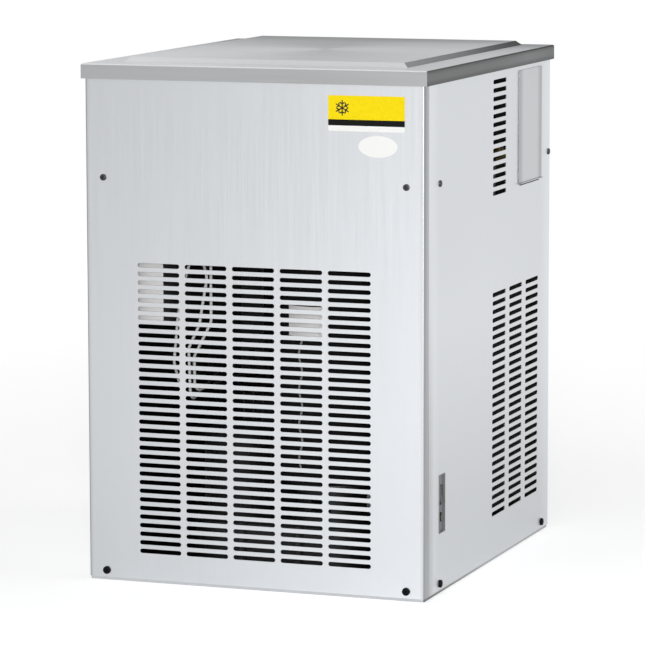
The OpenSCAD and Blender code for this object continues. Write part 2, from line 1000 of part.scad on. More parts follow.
module power_rocker() {
    reach = rocker_r + past;
    dish = reach * tan(rocker_tilt);
    color("black")
        translate([rocker_x, window_y, rocker_z])
            rotate([90, -rocker_tilt, 0]) {
                linear_extrude(rocker_w, center = true)
                    intersection() {
                        circle(rocker_r);
                        polygon([[-rocker_back, -reach], [rocker_rise + dish, -reach],
                            [rocker_rise, 0], [rocker_rise + dish, reach], [-rocker_back, reach]]);
                    }
                cylinder(r = rocker_pin_r, h = rocker_w + 2 * rocker_pin_l, center = true);
            }
}

module reset_button() {
    color("black")
        translate([switch_face + button_out - button_l, window_y, button_z])
            rotate([0, 90, 0])
                cylinder(r = button_r, h = button_l);
}

// Controls
module control_box() {
    color("whitesmoke")
        difference() {
            translate([box_x0, box_y0, box_z])
                cube([box_w, box_d, box_h]);
            translate([box_x0 + box_t, box_y0 - past, box_z + box_t])
                cube([box_w - 2 * box_t, box_d - box_t + past, box_h - 2 * box_t]);
        }
}

module control_box_cover() {
    color("whitesmoke") {
        translate([box_x0, box_y0 - box_t, box_z])
            cube([box_w, box_t, box_h]);
        for (z = [box_z + box_t + snug, box_z + box_h - 2 * box_t - snug])
            translate([box_x0 + box_t + snug, box_y0 - box_t, z])
                cube([box_w - 2 * (box_t + snug), cover_tongue, box_t]);
    }
}

module control_board() {
    board_w = box_w - 24;
    board_h = box_h - 34;
    board_y = box_y1 - box_t - board_gap;
    middle = [(box_x0 + box_x1) / 2, 0, box_z + box_h / 2];
    color("darkgreen")
        translate(middle) {
            translate([-board_w / 2, board_y - board_t, -board_h / 2])
                cube([board_w, board_t, board_h]);
            for (x = [-1, 1], z = [-1, 1])
                translate([x * (board_w / 2 - 6), board_y, z * (board_h / 2 - 6)])
                    facing("back")
                        cylinder(r = board_post_r, h = board_gap);
            for (i = [-1, 0, 1])
                translate([i * (relay_w + 4) - relay_w / 2, board_y - board_t - relay_d, 8])
                    cube([relay_w, relay_d, relay_h]);
        }
}

module wires() {
    color("white") {
        for (w = wire_routes)
            pipe(w, wire_r, wire_bend, 8);
        pipe(sensor_route, wire_r, wire_bend, 8);
    }
}

// Compressor
module compressor() {
    color("black")
        difference() {
            union() {
                translate([comp_x, comp_y, comp_plate_z])
                    linear_extrude(comp_plate_t)
                        round_rect2d(comp_plate_w, comp_plate_d, 18);
                translate([comp_x, comp_y, shell_z])
                    rotate_extrude()
                        intersection() {
                            round_rect2d_at(shell_r, shell_h, shell_round);
                            square([shell_r, shell_h]);
                        }
                translate([comp_x, comp_y, shell_z + shell_h * 0.55])
                    cylinder(r = shell_r + seam_band, h = seam_h);
                translate([comp_x + stub_ring, comp_y, shell_top - 2])
                    cylinder(r = discharge_r, h = comp_stub_z - shell_top + 2);
                translate([comp_x, comp_y - stub_ring, shell_top - 2])
                    cylinder(r = suction_r, h = comp_stub_z - shell_top + 2);
                translate([comp_x - stub_ring, comp_y, shell_top - 2])
                    cylinder(r = process_r, h = comp_stub_z - shell_top + 14);
            }
            comp_stud_places()
                translate([0, 0, comp_plate_z - past])
                    cylinder(r = foot_neck_r + snug, h = comp_plate_t + 2 * past);
        }
}

// Half section of a can of radius r and height h, centred on the turning axis
module round_rect2d_at(r, h, c) {
    translate([0, h / 2])
        round_rect2d(2 * r, h, c);
}

module compressor_feet() {
    color("dimgray")
        comp_stud_places()
            difference() {
                union() {
                    translate([0, 0, frame_t])
                        cylinder(r = foot_r, h = comp_plate_z - frame_t);
                    translate([0, 0, comp_plate_z])
                        cylinder(r = foot_neck_r, h = comp_plate_t);
                    translate([0, 0, shell_z])
                        cylinder(r = foot_r, h = foot_cap);
                }
                translate([0, 0, frame_t - past])
                    cylinder(r = stud_r + snug, h = shell_z + foot_cap);
            }
}

module stud(seat) {
    translate([0, 0, frame_t])
        cylinder(r = stud_r, h = seat - frame_t + nut_h + stud_proud);
    translate([0, 0, seat])
        hex(nut_r, nut_h);
}

module stud_nuts() {
    color("silver") {
        comp_stud_places()
            stud(shell_z + foot_cap);
        gear_stud_places()
            stud(frame_t + gear_foot);
    }
}

module terminal_cover() {
    color("black")
        difference() {
            translate([comp_x - terminal_w / 2, comp_y - shell_r - terminal_out, terminal_z])
                cube([terminal_w, terminal_out + shell_r / 2, terminal_h]);
            translate([comp_x, comp_y, terminal_z - past])
                cylinder(r = shell_r + seam_band + snug, h = terminal_h + 2 * past);
        }
}

// Condenser
module tube_run(i) {
    y0 = coil_y0 - tube_past;
    z = coil_z + tube_pitch * (i + 0.5);
    end = i == 0 || i == coil_tubes - 1;
    start = end ? coil_pipe_y : y0;
    translate([coil_x, start, z])
        facing("back")
            cylinder(r = end ? pipe_r(i) : coil_tube_r, h = y0 - start + tube_past);
    translate([coil_x, y0, z])
        facing("back")
            cylinder(r = coil_tube_r, h = coil_l + 2 * tube_past);
}

function pipe_r(i) = i == 0 ? liquid_r : discharge_r;

module return_bend(i) {
    back = i % 2 == 0;
    translate([coil_x, back ? coil_y1 + tube_past : coil_y0 - tube_past, coil_z + tube_pitch * (i + 1)])
        rotate([back ? 0 : 180, 0, 0])
            rotate([0, -90, 0])
                rotate_extrude(angle = 180)
                    translate([tube_pitch / 2, 0])
                        circle(coil_tube_r);
}

module end_plate(y, inward) {
    translate([coil_x0, y, frame_t])
        cube([coil_t, end_plate_t, coil_z + coil_h + 4 - frame_t]);
    translate([coil_x0, inward > 0 ? y : y - end_foot + end_plate_t, frame_t])
        cube([coil_t, end_foot, end_plate_t]);
}

module condenser_coil() {
    color("dimgray") {
        for (i = [0 : fins - 1])
            translate([coil_x0, coil_y0 + i * (coil_l - fin_t) / (fins - 1), coil_z])
                cube([coil_t, fin_t, coil_h]);
        end_plate(coil_y0 - end_plate_t, 1);
        end_plate(coil_y1, -1);
        for (i = [0 : coil_tubes - 1])
            tube_run(i);
        for (i = [0 : coil_tubes - 2])
            return_bend(i);
    }
}

module fan_shroud() {
    w = coil_l + 2 * end_plate_t;
    bottom = frame_t;
    h = coil_z + coil_h + 4 - bottom;
    color("dimgray") {
        difference() {
            translate([shroud_x, coil_y - w / 2, bottom])
                cube([shroud_depth, w, h]);
            translate([shroud_x + shroud_t, coil_y - w / 2 + shroud_t, bottom + shroud_t])
                cube([shroud_depth, w - 2 * shroud_t, h - 2 * shroud_t]);
            translate([shroud_x - past, fan_y, fan_z])
                facing("right")
                    cylinder(r = fan_r + fan_gap, h = shroud_t + 2 * past);
        }
        translate([shroud_x - fan_lip, fan_y, fan_z])
            facing("right")
                difference() {
                    cylinder(r = fan_r + fan_gap + shroud_t, h = fan_lip);
                    translate([0, 0, -past])
                        cylinder(r = fan_r + fan_gap, h = fan_lip + 2 * past);
                }
    }
}

// Bridge across the shroud that carries the fan motor
module fan_bracket() {
    x0 = fan_motor_x - fan_motor_l - bracket_t;
    color("gray") {
        translate([x0, fan_y - bracket_w / 2, fan_z - bracket_half])
            cube([bracket_t, bracket_w, 2 * bracket_half]);
        for (s = [-1, 1])
            translate([x0, fan_y - bracket_w / 2, fan_z + s * bracket_half - (s > 0 ? bracket_t : 0)])
                cube([shroud_x - x0, bracket_w, bracket_t]);
    }
}

module fan_motor() {
    color("darkslategray")
        translate([fan_motor_x - fan_motor_l, fan_y, fan_z])
            facing("right")
                difference() {
                    union() {
                        cylinder(r = fan_motor_r, h = fan_motor_l - 8);
                        cylinder(r = fan_motor_r * 0.45, h = fan_motor_l);
                        translate([0, 0, fan_motor_l * 0.3])
                            cylinder(r = fan_motor_r + 3, h = 14);
                    }
                    translate([0, 0, fan_motor_l - shaft_in])
                        cylinder(r = fan_shaft_r + run_gap, h = shaft_in + past);
                }
}

module fan_shaft() {
    color("silver")
        translate([fan_motor_x - shaft_in + snug, fan_y, fan_z])
            facing("right")
                cylinder(r = fan_shaft_r, h = shaft_in + fan_w - 2);
}

// One curved blade: a strip of a large ring, run outwards from the hub
module blade() {
    rotate([0, 90, 0])
        rotate([0, 0, 90 - blade_pitch])
            translate([0, -blade_curve * cos(blade_span / 2), hub_r - 3])
                linear_extrude(fan_r)
                    intersection() {
                        difference() {
                            circle(blade_curve);
                            circle(blade_curve - blade_t);
                        }
                        polygon([[0, 0], [-2 * blade_curve * sin(blade_span / 2),
                            2 * blade_curve * cos(blade_span / 2)],
                            [2 * blade_curve * sin(blade_span / 2),
                            2 * blade_curve * cos(blade_span / 2)]]);
                    }
}

module fan_blade() {
    color("dimgray")
        translate([fan_x, fan_y, fan_z])
            facing("right")
                difference() {
                    union() {
                        translate([0, 0, -fan_w / 2])
                            cylinder(r = hub_r, h = fan_w);
                        intersection() {
                            translate([0, 0, -2 * fan_w])
                                cylinder(r = fan_r, h = 4 * fan_w);
                            for (i = [0 : fan_blades - 1])
                                rotate(360 * i / fan_blades)
                                    blade();
                        }
                    }
                    translate([0, 0, -fan_w / 2 - past])
                        cylinder(r = fan_shaft_r + run_gap, h = fan_w + 2 * past);
                }
}

// Refrigerant lines
module filter_drier() {
    cone = 14;
    color("peru")
        translate([drier_x, drier_y, drier_z]) {
            cylinder(r1 = liquid_r + 1, r2 = drier_r, h = cone);
            translate([0, 0, cone])
                cylinder(r = drier_r, h = drier_l - 2 * cone);
            translate([0, 0, drier_l - cone])
                cylinder(r1 = drier_r, r2 = liquid_r + 1, h = cone);
        }
}

module discharge_line() {
    color("peru")
        pipe(discharge_route, discharge_r, 18);
}

module liquid_line() {
    color("peru") {
        pipe(liquid_route, liquid_r, 10, 8);
        pipe(liquid_feed_route, liquid_r, 10, 8);
    }
}

module suction_line() {
    color("black")
        pipe(suction_route, suction_r, 24);
}

// Gearbox and drive
module gear_outline2d(grow) {
    translate([freezer_x - gear_span / 2, freezer_y])
        slot2d(gear_span + 2 * (gear_r + grow), 2 * (gear_r + grow));
}

module gearbox_housing() {
    color("gray")
        difference() {
            union() {
                translate([0, 0, frame_t])
                    linear_extrude(cover_z - frame_t)
                        gear_outline2d(0);
                translate([freezer_x - gear_span / 2, freezer_y, frame_t])
                    linear_extrude(gear_foot)
                        round_rect2d(2 * gear_stud_x + 30, 2 * (gear_r + gear_foot_out), 10);
            }
            on_freezer(shaft_z - hole_gap)
                cylinder(r = shaft_r + run_gap, h = cover_z);
            gear_stud_places()
                translate([0, 0, frame_t - past]) {
                    cylinder(r = stud_r + snug, h = gear_foot + 2 * past);
                    translate([0, 0, gear_foot + past])
                        cylinder(r = nut_r + 1, h = cover_z);
                }
        }
}

module gearbox_cover() {
    color("darkgray")
        difference() {
            union() {
                translate([0, 0, cover_z])
                    linear_extrude(cover_t * 0.6)
                        gear_outline2d(0);
                translate([0, 0, cover_z])
                    linear_extrude(cover_t)
                        gear_outline2d(-8);
            }
            on_freezer(cover_z - past)
                cylinder(r = shaft_r + run_gap, h = cover_t + 2 * past);
            gear_stud_places()
                translate([0, 0, cover_z - past])
                    cylinder(r = nut_r + 1, h = cover_t + 2 * past);
        }
}

module drive_motor() {
    ribs = 16;
    color("black")
        translate([motor_x, freezer_y, gear_top]) {
            cylinder(r = motor_r, h = 12);
            cylinder(r = motor_r - 4, h = motor_h - 16);
            translate([0, 0, motor_h - 24])
                cylinder(r = motor_r - 1, h = 14);
            translate([0, 0, motor_h - 10])
                cylinder(r1 = motor_r - 1, r2 = motor_r - 9, h = 10);
            for (i = [0 : ribs - 1])
                rotate(360 * i / ribs)
                    translate([motor_r - 6, -1.5, 4])
                        cube([5, 3, motor_h - 24]);
        }
}

module drive_shaft() {
    color("silver")
        on_freezer(0)
            difference() {
                union() {
                    translate([0, 0, shaft_z])
                        cylinder(r = shaft_r, h = socket_z - shaft_z);
                    translate([0, 0, socket_z])
                        cylinder(r = socket_r, h = socket_h);
                }
                translate([0, 0, socket_z + socket_h - socket_depth])
                    cylinder(r = seal_r + run_gap, h = socket_depth + past);
            }
}

module pedestal() {
    windows = 3;
    color("lightgray")
        on_freezer(gear_top)
            difference() {
                union() {
                    cylinder(r = pedestal_r, h = pedestal_h);
                    cylinder(r = gear_r - 8, h = pedestal_foot_t);
                    translate([0, 0, pedestal_h - pedestal_foot_t])
                        cylinder(r = flange_r, h = pedestal_foot_t);
                }
                translate([0, 0, -past])
                    cylinder(r = pedestal_bore_r, h = pedestal_h + 2 * past);
                for (i = [0 : windows - 1])
                    rotate(360 * i / windows + 30)
                        translate([0, -14, pedestal_foot_t + 8])
                            cube([gear_r, 28, pedestal_h - 2 * pedestal_foot_t - 16]);
            }
}

// Freezer
module stub(z, r) {
    translate([0, 0, z])
        rotate([0, 90, stub_turn])
            cylinder(r = r, h = stub_out);
}

module freezing_cylinder() {
    color("silver")
        on_freezer(0)
            difference() {
                union() {
                    translate([0, 0, freezer_z])
                        cylinder(r = cyl_r, h = freezer_h);
                    for (z = [freezer_z, freezer_top - flange_t])
                        translate([0, 0, z])
                            cylinder(r = flange_r, h = flange_t);
                    translate([0, 0, jacket_z])
                        cylinder(r = jacket_r, h = jacket_top - jacket_z);
                    stub(liquid_stub_z, liquid_r);
                    stub(suction_stub_z, suction_r);
                    translate([0, 0, water_stub_z])
                        rotate([0, 90, 0])
                            cylinder(r = water_stub_r, h = stub_out);
                }
                translate([0, 0, freezer_z - past])
                    cylinder(r = bore_r, h = freezer_h + 2 * past);
                translate([0, 0, water_stub_z])
                    rotate([0, 90, 0])
                        cylinder(r = water_stub_bore, h = stub_out + past);
            }
}

module insulation_sleeve() {
    z0 = freezer_z + flange_t;
    h = freezer_h - 2 * flange_t;
    color("black")
        on_freezer(0)
            difference() {
                translate([0, 0, z0])
                    cylinder(r = insulation_r, h = h);
                translate([0, 0, z0 - past])
                    cylinder(r = jacket_r + snug, h = h + 2 * past);
                stub(liquid_stub_z, liquid_r + snug);
                stub(suction_stub_z, suction_r + snug);
                translate([0, 0, water_stub_z])
                    rotate([0, 90, 0])
                        cylinder(r = water_stub_r + snug, h = stub_out);
            }
}

// Helical flight: a rectangular strip wound up the core
module flight() {
    outer = bore_r - flight_gap;
    climb = auger_top - auger_z - flight_start - flight_end - flight_t;
    last = flight_steps * flight_turns;
    ring = [for (i = [0 : last]) let (a = 360 * i / flight_steps, z = climb * i / last)
        each [for (p = [[core_r - flight_sunk, 0], [outer, 0], [outer, flight_t],
            [core_r - flight_sunk, flight_t]]) [p[0] * cos(a), p[0] * sin(a), z + p[1]]]];
    wall = [for (i = [0 : last - 1], k = [0 : 3]) let (a = 4 * i, j = (k + 1) % 4)
        each [[a + k, a + 4 + j, a + 4 + k], [a + k, a + j, a + 4 + j]]];
    ends = [[3, 2, 1, 0], [4 * last, 4 * last + 1, 4 * last + 2, 4 * last + 3]];
    translate([0, 0, auger_z + flight_start])
        polyhedron(ring, concat(ends, wall));
}

module auger() {
    socket_floor = socket_z + socket_h - socket_depth;
    color("silver")
        on_freezer(0) {
            translate([0, 0, socket_floor])
                cylinder(r = seal_r, h = auger_z - socket_floor);
            translate([0, 0, auger_z])
                cylinder(r = core_r, h = auger_top - auger_z);
            flight();
            translate([0, 0, auger_top])
                cylinder(r = journal_r, h = head_top - journal_end - auger_top);
        }
}

module shaft_seal() {
    color("black")
        on_freezer(freezer_z)
            difference() {
                cylinder(r = bore_r - run_gap, h = seal_h);
                translate([0, 0, -past])
                    cylinder(r = seal_r + run_gap, h = seal_h + 2 * past);
            }
}

module breaker_head() {
    tooth_in = journal_r + tooth_gap;
    color("silver")
        on_freezer(freezer_top)
            difference() {
                union() {
                    difference() {
                        union() {
                            cylinder(r = head_r, h = head_h);
                            cylinder(r = flange_r, h = flange_t);
                        }
                        translate([0, 0, -past])
                            cylinder(r = bore_r, h = head_h - head_roof + past);
                        translate([-spout_w / 2, 0, spout_z - freezer_top])
                            cube([spout_w, 2 * head_r, spout_h]);
                    }
                    for (i = [0 : teeth - 1])
                        rotate(360 * i / teeth + 45)
                            translate([tooth_in, -tooth_w / 2, 0])
                                cube([bore_r + 2 - tooth_in, tooth_w, tooth_h]);
                }
                translate([0, 0, head_h - head_roof - past])
                    cylinder(r = bearing_r, h = head_roof - 2);
                translate([0, 0, head_h - 4])
                    cylinder(r = journal_r + 3, h = 2);
            }
}

module top_bearing() {
    color("goldenrod")
        on_freezer(head_top - head_roof)
            difference() {
                cylinder(r = bearing_r - run_gap, h = head_roof - 3);
                translate([0, 0, -past])
                    cylinder(r = journal_r + run_gap, h = head_roof + 2 * past);
            }
}

// Ice way
module ice_spout() {
    chute_inside = chute_y - chute_d / 2;
    outer_w = spout_w + 2 * spout_wall;
    outer_h = spout_h + 2 * spout_wall;
    color("whitesmoke")
        difference() {
            translate([freezer_x - outer_w / 2, freezer_y + bore_r, spout_z - spout_wall])
                cube([outer_w, chute_inside - freezer_y - bore_r, outer_h]);
            translate([freezer_x - spout_w / 2, freezer_y, spout_z])
                cube([spout_w, chute_d + chute_from_freezer, spout_h]);
            on_freezer(freezer_top)
                cylinder(r = head_r + snug, h = head_h + spout_wall);
        }
}

module ice_chute() {
    window_w = spout_w + 2 * (spout_wall + snug);
    window_h = spout_h + 2 * (spout_wall + snug);
    outer_w = chute_w + 2 * chute_wall;
    outer_d = chute_d + 2 * chute_wall;
    color("whitesmoke")
        difference() {
            translate([chute_x, chute_y, 0]) {
                translate([0, 0, chute_z])
                    linear_extrude(chute_top - chute_z)
                        round_rect2d(outer_w, outer_d, chute_round + chute_wall);
                translate([0, 0, frame_t])
                    linear_extrude(chute_foot_t)
                        round_rect2d(outer_w + 2 * chute_foot, outer_d + 2 * chute_foot, chute_round);
            }
            translate([chute_x, chute_y, chute_z - past])
                linear_extrude(chute_top - chute_z + past - chute_wall)
                    round_rect2d(chute_w, chute_d, chute_round);
            translate([freezer_x - window_w / 2, chute_y - outer_d, spout_z - spout_wall - snug])
                cube([window_w, outer_d, window_h]);
            for (s = ["left", "right"])
                translate([chute_x, chute_y, sensor_z])
                    facing(s)
                        cylinder(r = sensor_r + snug, h = outer_w);
        }
}

module ice_sensors() {
    color("dimgray")
        for (s = ["left", "right"])
            translate([chute_x, chute_y, sensor_z])
                facing(s)
                    translate([0, 0, chute_w / 2]) {
                        cylinder(r = sensor_r, h = chute_wall + sensor_l);
                        translate([0, 0, chute_wall])
                            hex(sensor_nut_r, sensor_nut_h);
                    }
}

// Water
module reservoir() {
    color("whitesmoke")
        difference() {
            union() {
                translate([tank_x0, tank_y0, tank_z])
                    cube([tank_w, tank_d, tank_h]);
                for (y = [feed_y, over_y])
                    translate([feed_x, y, shelf_z - spigot_l])
                        cylinder(r = feed_r, h = spigot_l + frame_t + 1);
            }
            difference() {
                translate([tank_x0 + tank_wall, tank_y0 + tank_wall, tank_z + tank_wall])
                    cube([tank_w - 2 * tank_wall, tank_d - 2 * tank_wall, tank_h]);
                translate([feed_x, over_y, tank_z])
                    cylinder(r = over_r, h = over_h);
            }
            for (y = [feed_y, over_y])
                translate([feed_x, y, shelf_z - spigot_l - past])
                    cylinder(r = feed_r - 2, h = tank_h + spigot_l);
            translate([valve_x, tank_y1 + past, valve_z])
                facing("front")
                    cylinder(r = valve_r + snug, h = tank_wall + 2 * past);
        }
}

module reservoir_cover() {
    inset = tank_wall + snug;
    color("whitesmoke") {
        translate([tank_x0 - 2, tank_y0 - 2, tank_z + tank_h])
            cube([tank_w + 4, tank_d + 4, 2]);
        translate([tank_x0 + inset, tank_y0 + inset, tank_z + tank_h - cover_lip])
            difference() {
                cube([tank_w - 2 * inset, tank_d - 2 * inset, cover_lip]);
                translate([2, 2, -past])
                    cube([tank_w - 2 * inset - 4, tank_d - 2 * inset - 4, cover_lip + past]);
            }
    }
}

module reservoir_shelf() {
    x0 = tank_x0 - shelf_lip;
    x1 = tank_x1 + shelf_lip;
    leg_w = inner_x - post_leg - x0;
    color("gainsboro")
        difference() {
            union() {
                translate([x0, tank_y0 - shelf_lip, shelf_z])
                    cube([x1 - x0, inner_back - frame_t - tank_y0 + shelf_lip, frame_t]);
                translate([x0, inner_back - frame_t, shelf_z - shelf_drop])
                    cube([leg_w, frame_t, shelf_drop + frame_t]);
                translate([x0 + frame_t, inner_back - frame_t, shelf_z])
                    rotate([90, 0, -90])
                        linear_extrude(frame_t)
                            polygon([[0, 0], [4 * shelf_drop, 0], [0, -shelf_drop]]);
            }
            for (y = [feed_y, over_y])
                translate([feed_x, y, shelf_z - past])
                    cylinder(r = feed_r + snug, h = frame_t + 2 * past);
        }
}

module float_valve() {
    color("goldenrod") {
        translate([valve_x, tank_y1 - tank_wall - valve_in, valve_z])
            facing("back")
                cylinder(r = valve_r, h = valve_in + tank_wall + valve_back);
        translate([valve_x, tank_y1, valve_z])
            facing("back")
                hex(valve_r + 4, 6);
        translate([valve_x, hose_y, valve_z])
            cylinder(r = valve_barb_r, h = valve_barb_h);
        difference() {
            translate([valve_x - fork_w / 2, pin_y - 4, valve_z - 4])
                cube([fork_w, 10, 8]);
            translate([valve_x - fork_w / 2 + fork_t, pin_y - 5, valve_z - 5])
                cube([fork_w - 2 * fork_t, 8.5, 10]);
            translate([valve_x, pin_y, valve_z])
                facing("right")
                    cylinder(r = pin_r + run_gap, h = 2 * fork_w, center = true);
        }
    }
}

module float() {
    color("white")
        translate([valve_x, pin_y, valve_z])
            rotate([float_droop, 0, 0]) {
                facing("right")
                    cylinder(r = pin_r, h = fork_w, center = true);
                facing("right")
                    cylinder(r = pin_r + 1.5, h = fork_w - 2 * fork_t - 1, center = true);
                translate([-arm_w / 2, -arm_l, -arm_t / 2])
                    cube([arm_w, arm_l, arm_t]);
                translate([0, -arm_l - float_l / 2 + 2, -float_h / 2])
                    linear_extrude(float_h)
                        round_rect2d(float_w, float_l, 8);
            }
}

module water_inlet() {
    color("goldenrod")
        translate([inlet_x, 0, inlet_z])
            difference() {
                union() {
                    translate([0, back_y, 0])
                        facing("back")
                            cylinder(r = inlet_r, h = inlet_out);
                    translate([0, back_y, 0])
                        facing("back")
                            hex(inlet_flange_r, inlet_flange_t);
                    translate([0, hose_y, 0])
                        facing("back")
                            cylinder(r = valve_r, h = back_y - hose_y + 1);
                    translate([0, hose_y, -barb_l - valve_r])
                        cylinder(r = valve_barb_r, h = barb_l + valve_r);
                    translate([0, hose_y, 0])
                        sphere(valve_r);
                }
                translate([0, back_y + inlet_out - fitting_deep, 0])
                    facing("back")
                        cylinder(r = inlet_bore, h = fitting_deep + past);
            }
}

module inlet_hose() {
    z0 = valve_z + valve_r + 1;
    z1 = inlet_z - valve_r - 2;
    color("lightgray")
        translate([valve_x, hose_y, z0])
            difference() {
                cylinder(r = hose_r, h = z1 - z0);
                translate([0, 0, -past])
                    cylinder(r = valve_barb_r + run_gap, h = z1 - z0 + 2 * past);
            }
}

module feed_hose() {
    color("lightgray")
        pipe(feed_route, feed_r, feed_bend);
}

module drain_hose() {
    color("lightgray")
        pipe(drain_route, over_r, drain_bend);
}

module drain_fitting() {
    color("dimgray")
        translate([drain_x, 0, drain_z])
            difference() {
                union() {
                    translate([0, drain_elbow_y, 0])
                        facing("back")
                            cylinder(r = drain_r, h = back_y + drain_out - drain_elbow_y);
                    translate([0, back_y, 0])
                        facing("back")
                            hex(drain_r + 6, 5);
                    translate([0, drain_elbow_y, 0])
                        cylinder(r = over_r, h = barb_l);
                    translate([0, drain_elbow_y, 0])
                        sphere(drain_r);
                }
                translate([0, back_y + drain_out - fitting_deep, 0])
                    facing("back")
                        cylinder(r = drain_bore, h = fitting_deep + past);
            }
}

module cable_gland() {
    color("black")
        translate([gland_x, back_y, gland_z])
            facing("back")
                difference() {
                    union() {
                        translate([0, 0, -sheet - gland_nut]) {
                            cylinder(r = gland_r, h = sheet + gland_nut);
                            hex(gland_hex, gland_nut);
                        }
                        hex(gland_hex, gland_cap);
                        translate([0, 0, gland_cap])
                            cylinder(r1 = gland_r + 2, r2 = gland_r - 3, h = gland_out - gland_cap);
                    }
                    translate([0, 0, gland_out - gland_deep])
                        cylinder(r = gland_bore, h = gland_deep + past);
                }
}

base_pan();
front_left_post();
front_right_post();
rear_left_post();
rear_right_post();
top_rails();
front_panel();
left_panel();
right_panel();
rear_panel();
lid();
hatch_cover();
panel_screws();
base_screws();
switch_bezel();
power_rocker();
reset_button();
control_box();
control_box_cover();
control_board();
wires();
compressor();
compressor_feet();
stud_nuts();
terminal_cover();
condenser_coil();
fan_shroud();
fan_bracket();
fan_motor();
fan_shaft();
fan_blade();
filter_drier();
discharge_line();
liquid_line();
suction_line();
gearbox_housing();
gearbox_cover();
drive_motor();
drive_shaft();
pedestal();
freezing_cylinder();
insulation_sleeve();
auger();
shaft_seal();
breaker_head();
top_bearing();
ice_spout();
ice_chute();
ice_sensors();
reservoir();
reservoir_cover();
reservoir_shelf();
float_valve();
float();
water_inlet();
inlet_hose();
feed_hose();
drain_hose();
drain_fitting();
cable_gland();
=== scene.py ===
"""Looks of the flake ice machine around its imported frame: studio, finishes, labels and screw heads."""

import math

import bmesh
import bpy
from mathutils import Matrix, Quaternion, Vector


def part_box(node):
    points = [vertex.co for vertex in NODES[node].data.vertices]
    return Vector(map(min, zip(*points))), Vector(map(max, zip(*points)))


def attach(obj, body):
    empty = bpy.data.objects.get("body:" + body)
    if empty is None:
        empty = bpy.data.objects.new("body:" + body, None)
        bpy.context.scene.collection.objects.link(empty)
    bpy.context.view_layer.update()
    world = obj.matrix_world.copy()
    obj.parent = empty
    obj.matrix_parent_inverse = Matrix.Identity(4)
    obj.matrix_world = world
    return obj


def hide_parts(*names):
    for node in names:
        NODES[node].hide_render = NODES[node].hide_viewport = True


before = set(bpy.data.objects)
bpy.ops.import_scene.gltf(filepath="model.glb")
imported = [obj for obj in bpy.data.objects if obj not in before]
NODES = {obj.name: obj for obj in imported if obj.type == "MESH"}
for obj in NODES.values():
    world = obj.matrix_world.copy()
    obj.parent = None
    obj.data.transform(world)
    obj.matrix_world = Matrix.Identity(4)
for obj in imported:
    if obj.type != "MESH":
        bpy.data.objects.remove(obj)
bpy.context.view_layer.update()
MM = 0.001
FRONT_LOW, FRONT_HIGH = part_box("front_panel")
FRONT_Y = FRONT_LOW[1]

# Camera, in metres in the part's frame, with the photograph's size and focal length in pixels
CAMERA_AT = Vector((1.7589, -4.8259, 1.0232))
CAMERA_AIM = Vector((0, -0.0785, 0.345))
CAMERA_ROLL = math.radians(-0.16)
CAMERA_SHIFT = (0.0250, -0.0166)
CLIP_END = 60
PHOTO_PX = 645
FOCAL_PX = 3770
SENSOR_MM = 36

# Studio; the floor glows a little more where less lamp light falls on it
FLOOR_SIZE = 6
FLOOR_ALBEDO = 0.72
FLOOR_GLOW = (0.50, 0.72)
FLOOR_GLOW_AT = (0.8, 3.0)
WHITE = (1, 1, 1, 1)
WORLD_FILL = 0.35
WORLD_BACK = 1.0

# Lamps: name, place, aim, size in metres and power in watts
LAMPS = (
    ("key", (-1.0, -2.6, 4.4), (0, 0, 0.3), 4.0, 50),
    ("front", (1.9, -5.4, 1.1), (0, -0.28, 0.3), 3.0, 55),
    ("camera_side", (1.78, -4.9, 1.12), (0, -0.1, 0.35), 0.4, 80),
    ("right", (4.2, 1.0, 2.6), (0.2, 0, 0.3), 3.0, 50),
)

# Card that only glossy rays see: place of its middle, size across and up, and level
LID_CARD = ((-0.2, 0.45, 0.79), (1.5, 0.2), 0.4)
CARD_HIDDEN_FROM = ("camera", "diffuse", "transmission", "volume_scatter", "shadow")

# Where most values of a noise lie, and of the sum of two
NOISE_RANGE = (0.3, 0.7)
SUM_RANGE = (0.6, 1.4)


# Node helpers
def add(tree, kind, inputs=None, **settings):
    """A new node with its settings, and inputs that are either values or the sockets that feed them."""
    node = tree.nodes.new("ShaderNode" + kind)
    for name, value in settings.items():
        setattr(node, name, value)
    for name, value in (inputs or {}).items():
        if isinstance(value, bpy.types.NodeSocket):
            tree.links.new(value, node.inputs[name])
        else:
            node.inputs[name].default_value = value
    return node


def calc(tree, operation, *values, clamp=False):
    """The result of one operation on numbers."""
    node = add(tree, "Math", dict(enumerate(values)), operation=operation, use_clamp=clamp)
    return node.outputs[0]


def vector_calc(tree, operation, *values):
    """The outputs of one operation on vectors."""
    return add(tree, "VectorMath", dict(enumerate(values)), operation=operation).outputs


def times(tree, *factors):
    """The product of some values."""
    product = factors[0]
    for factor in factors[1:]:
        product = calc(tree, "MULTIPLY", product, factor)
    return product


def scaled(tree, colour, level):
    """A colour times a level."""
    return add(tree, "VectorMath", {0: colour, "Scale": level}, operation="SCALE").outputs[0]


def surface(tree):
    """The coordinates of the surface: its place is Object, its direction is Normal."""
    return add(tree, "TexCoord").outputs


def axis(tree, coords, source, letter):
    """One coordinate of the surface's place or of its direction."""
    return add(tree, "SeparateXYZ", {0: coords[source]}).outputs[letter]


def remap(tree, value, low, high, start=NOISE_RANGE[0], end=NOISE_RANGE[1]):
    """A value carried from between start and end to between low and high."""
    inputs = {"Value": value, 1: start, 2: end, 3: low, 4: high}
    return add(tree, "MapRange", inputs).outputs[0]


def noise(tree, per_metre, detail=3.0, rough=0.55):
    """Noise with its own frequency along X, Y and Z, counted per metre on the part."""
    place = surface(tree)["Object"]
    stretched = add(tree, "Mapping", {"Vector": place, "Scale": per_metre}).outputs[0]
    inputs = {"Vector": stretched, "Scale": 1.0, "Detail": detail, "Roughness": rough}
    return add(tree, "TexNoise", inputs).outputs["Fac"]


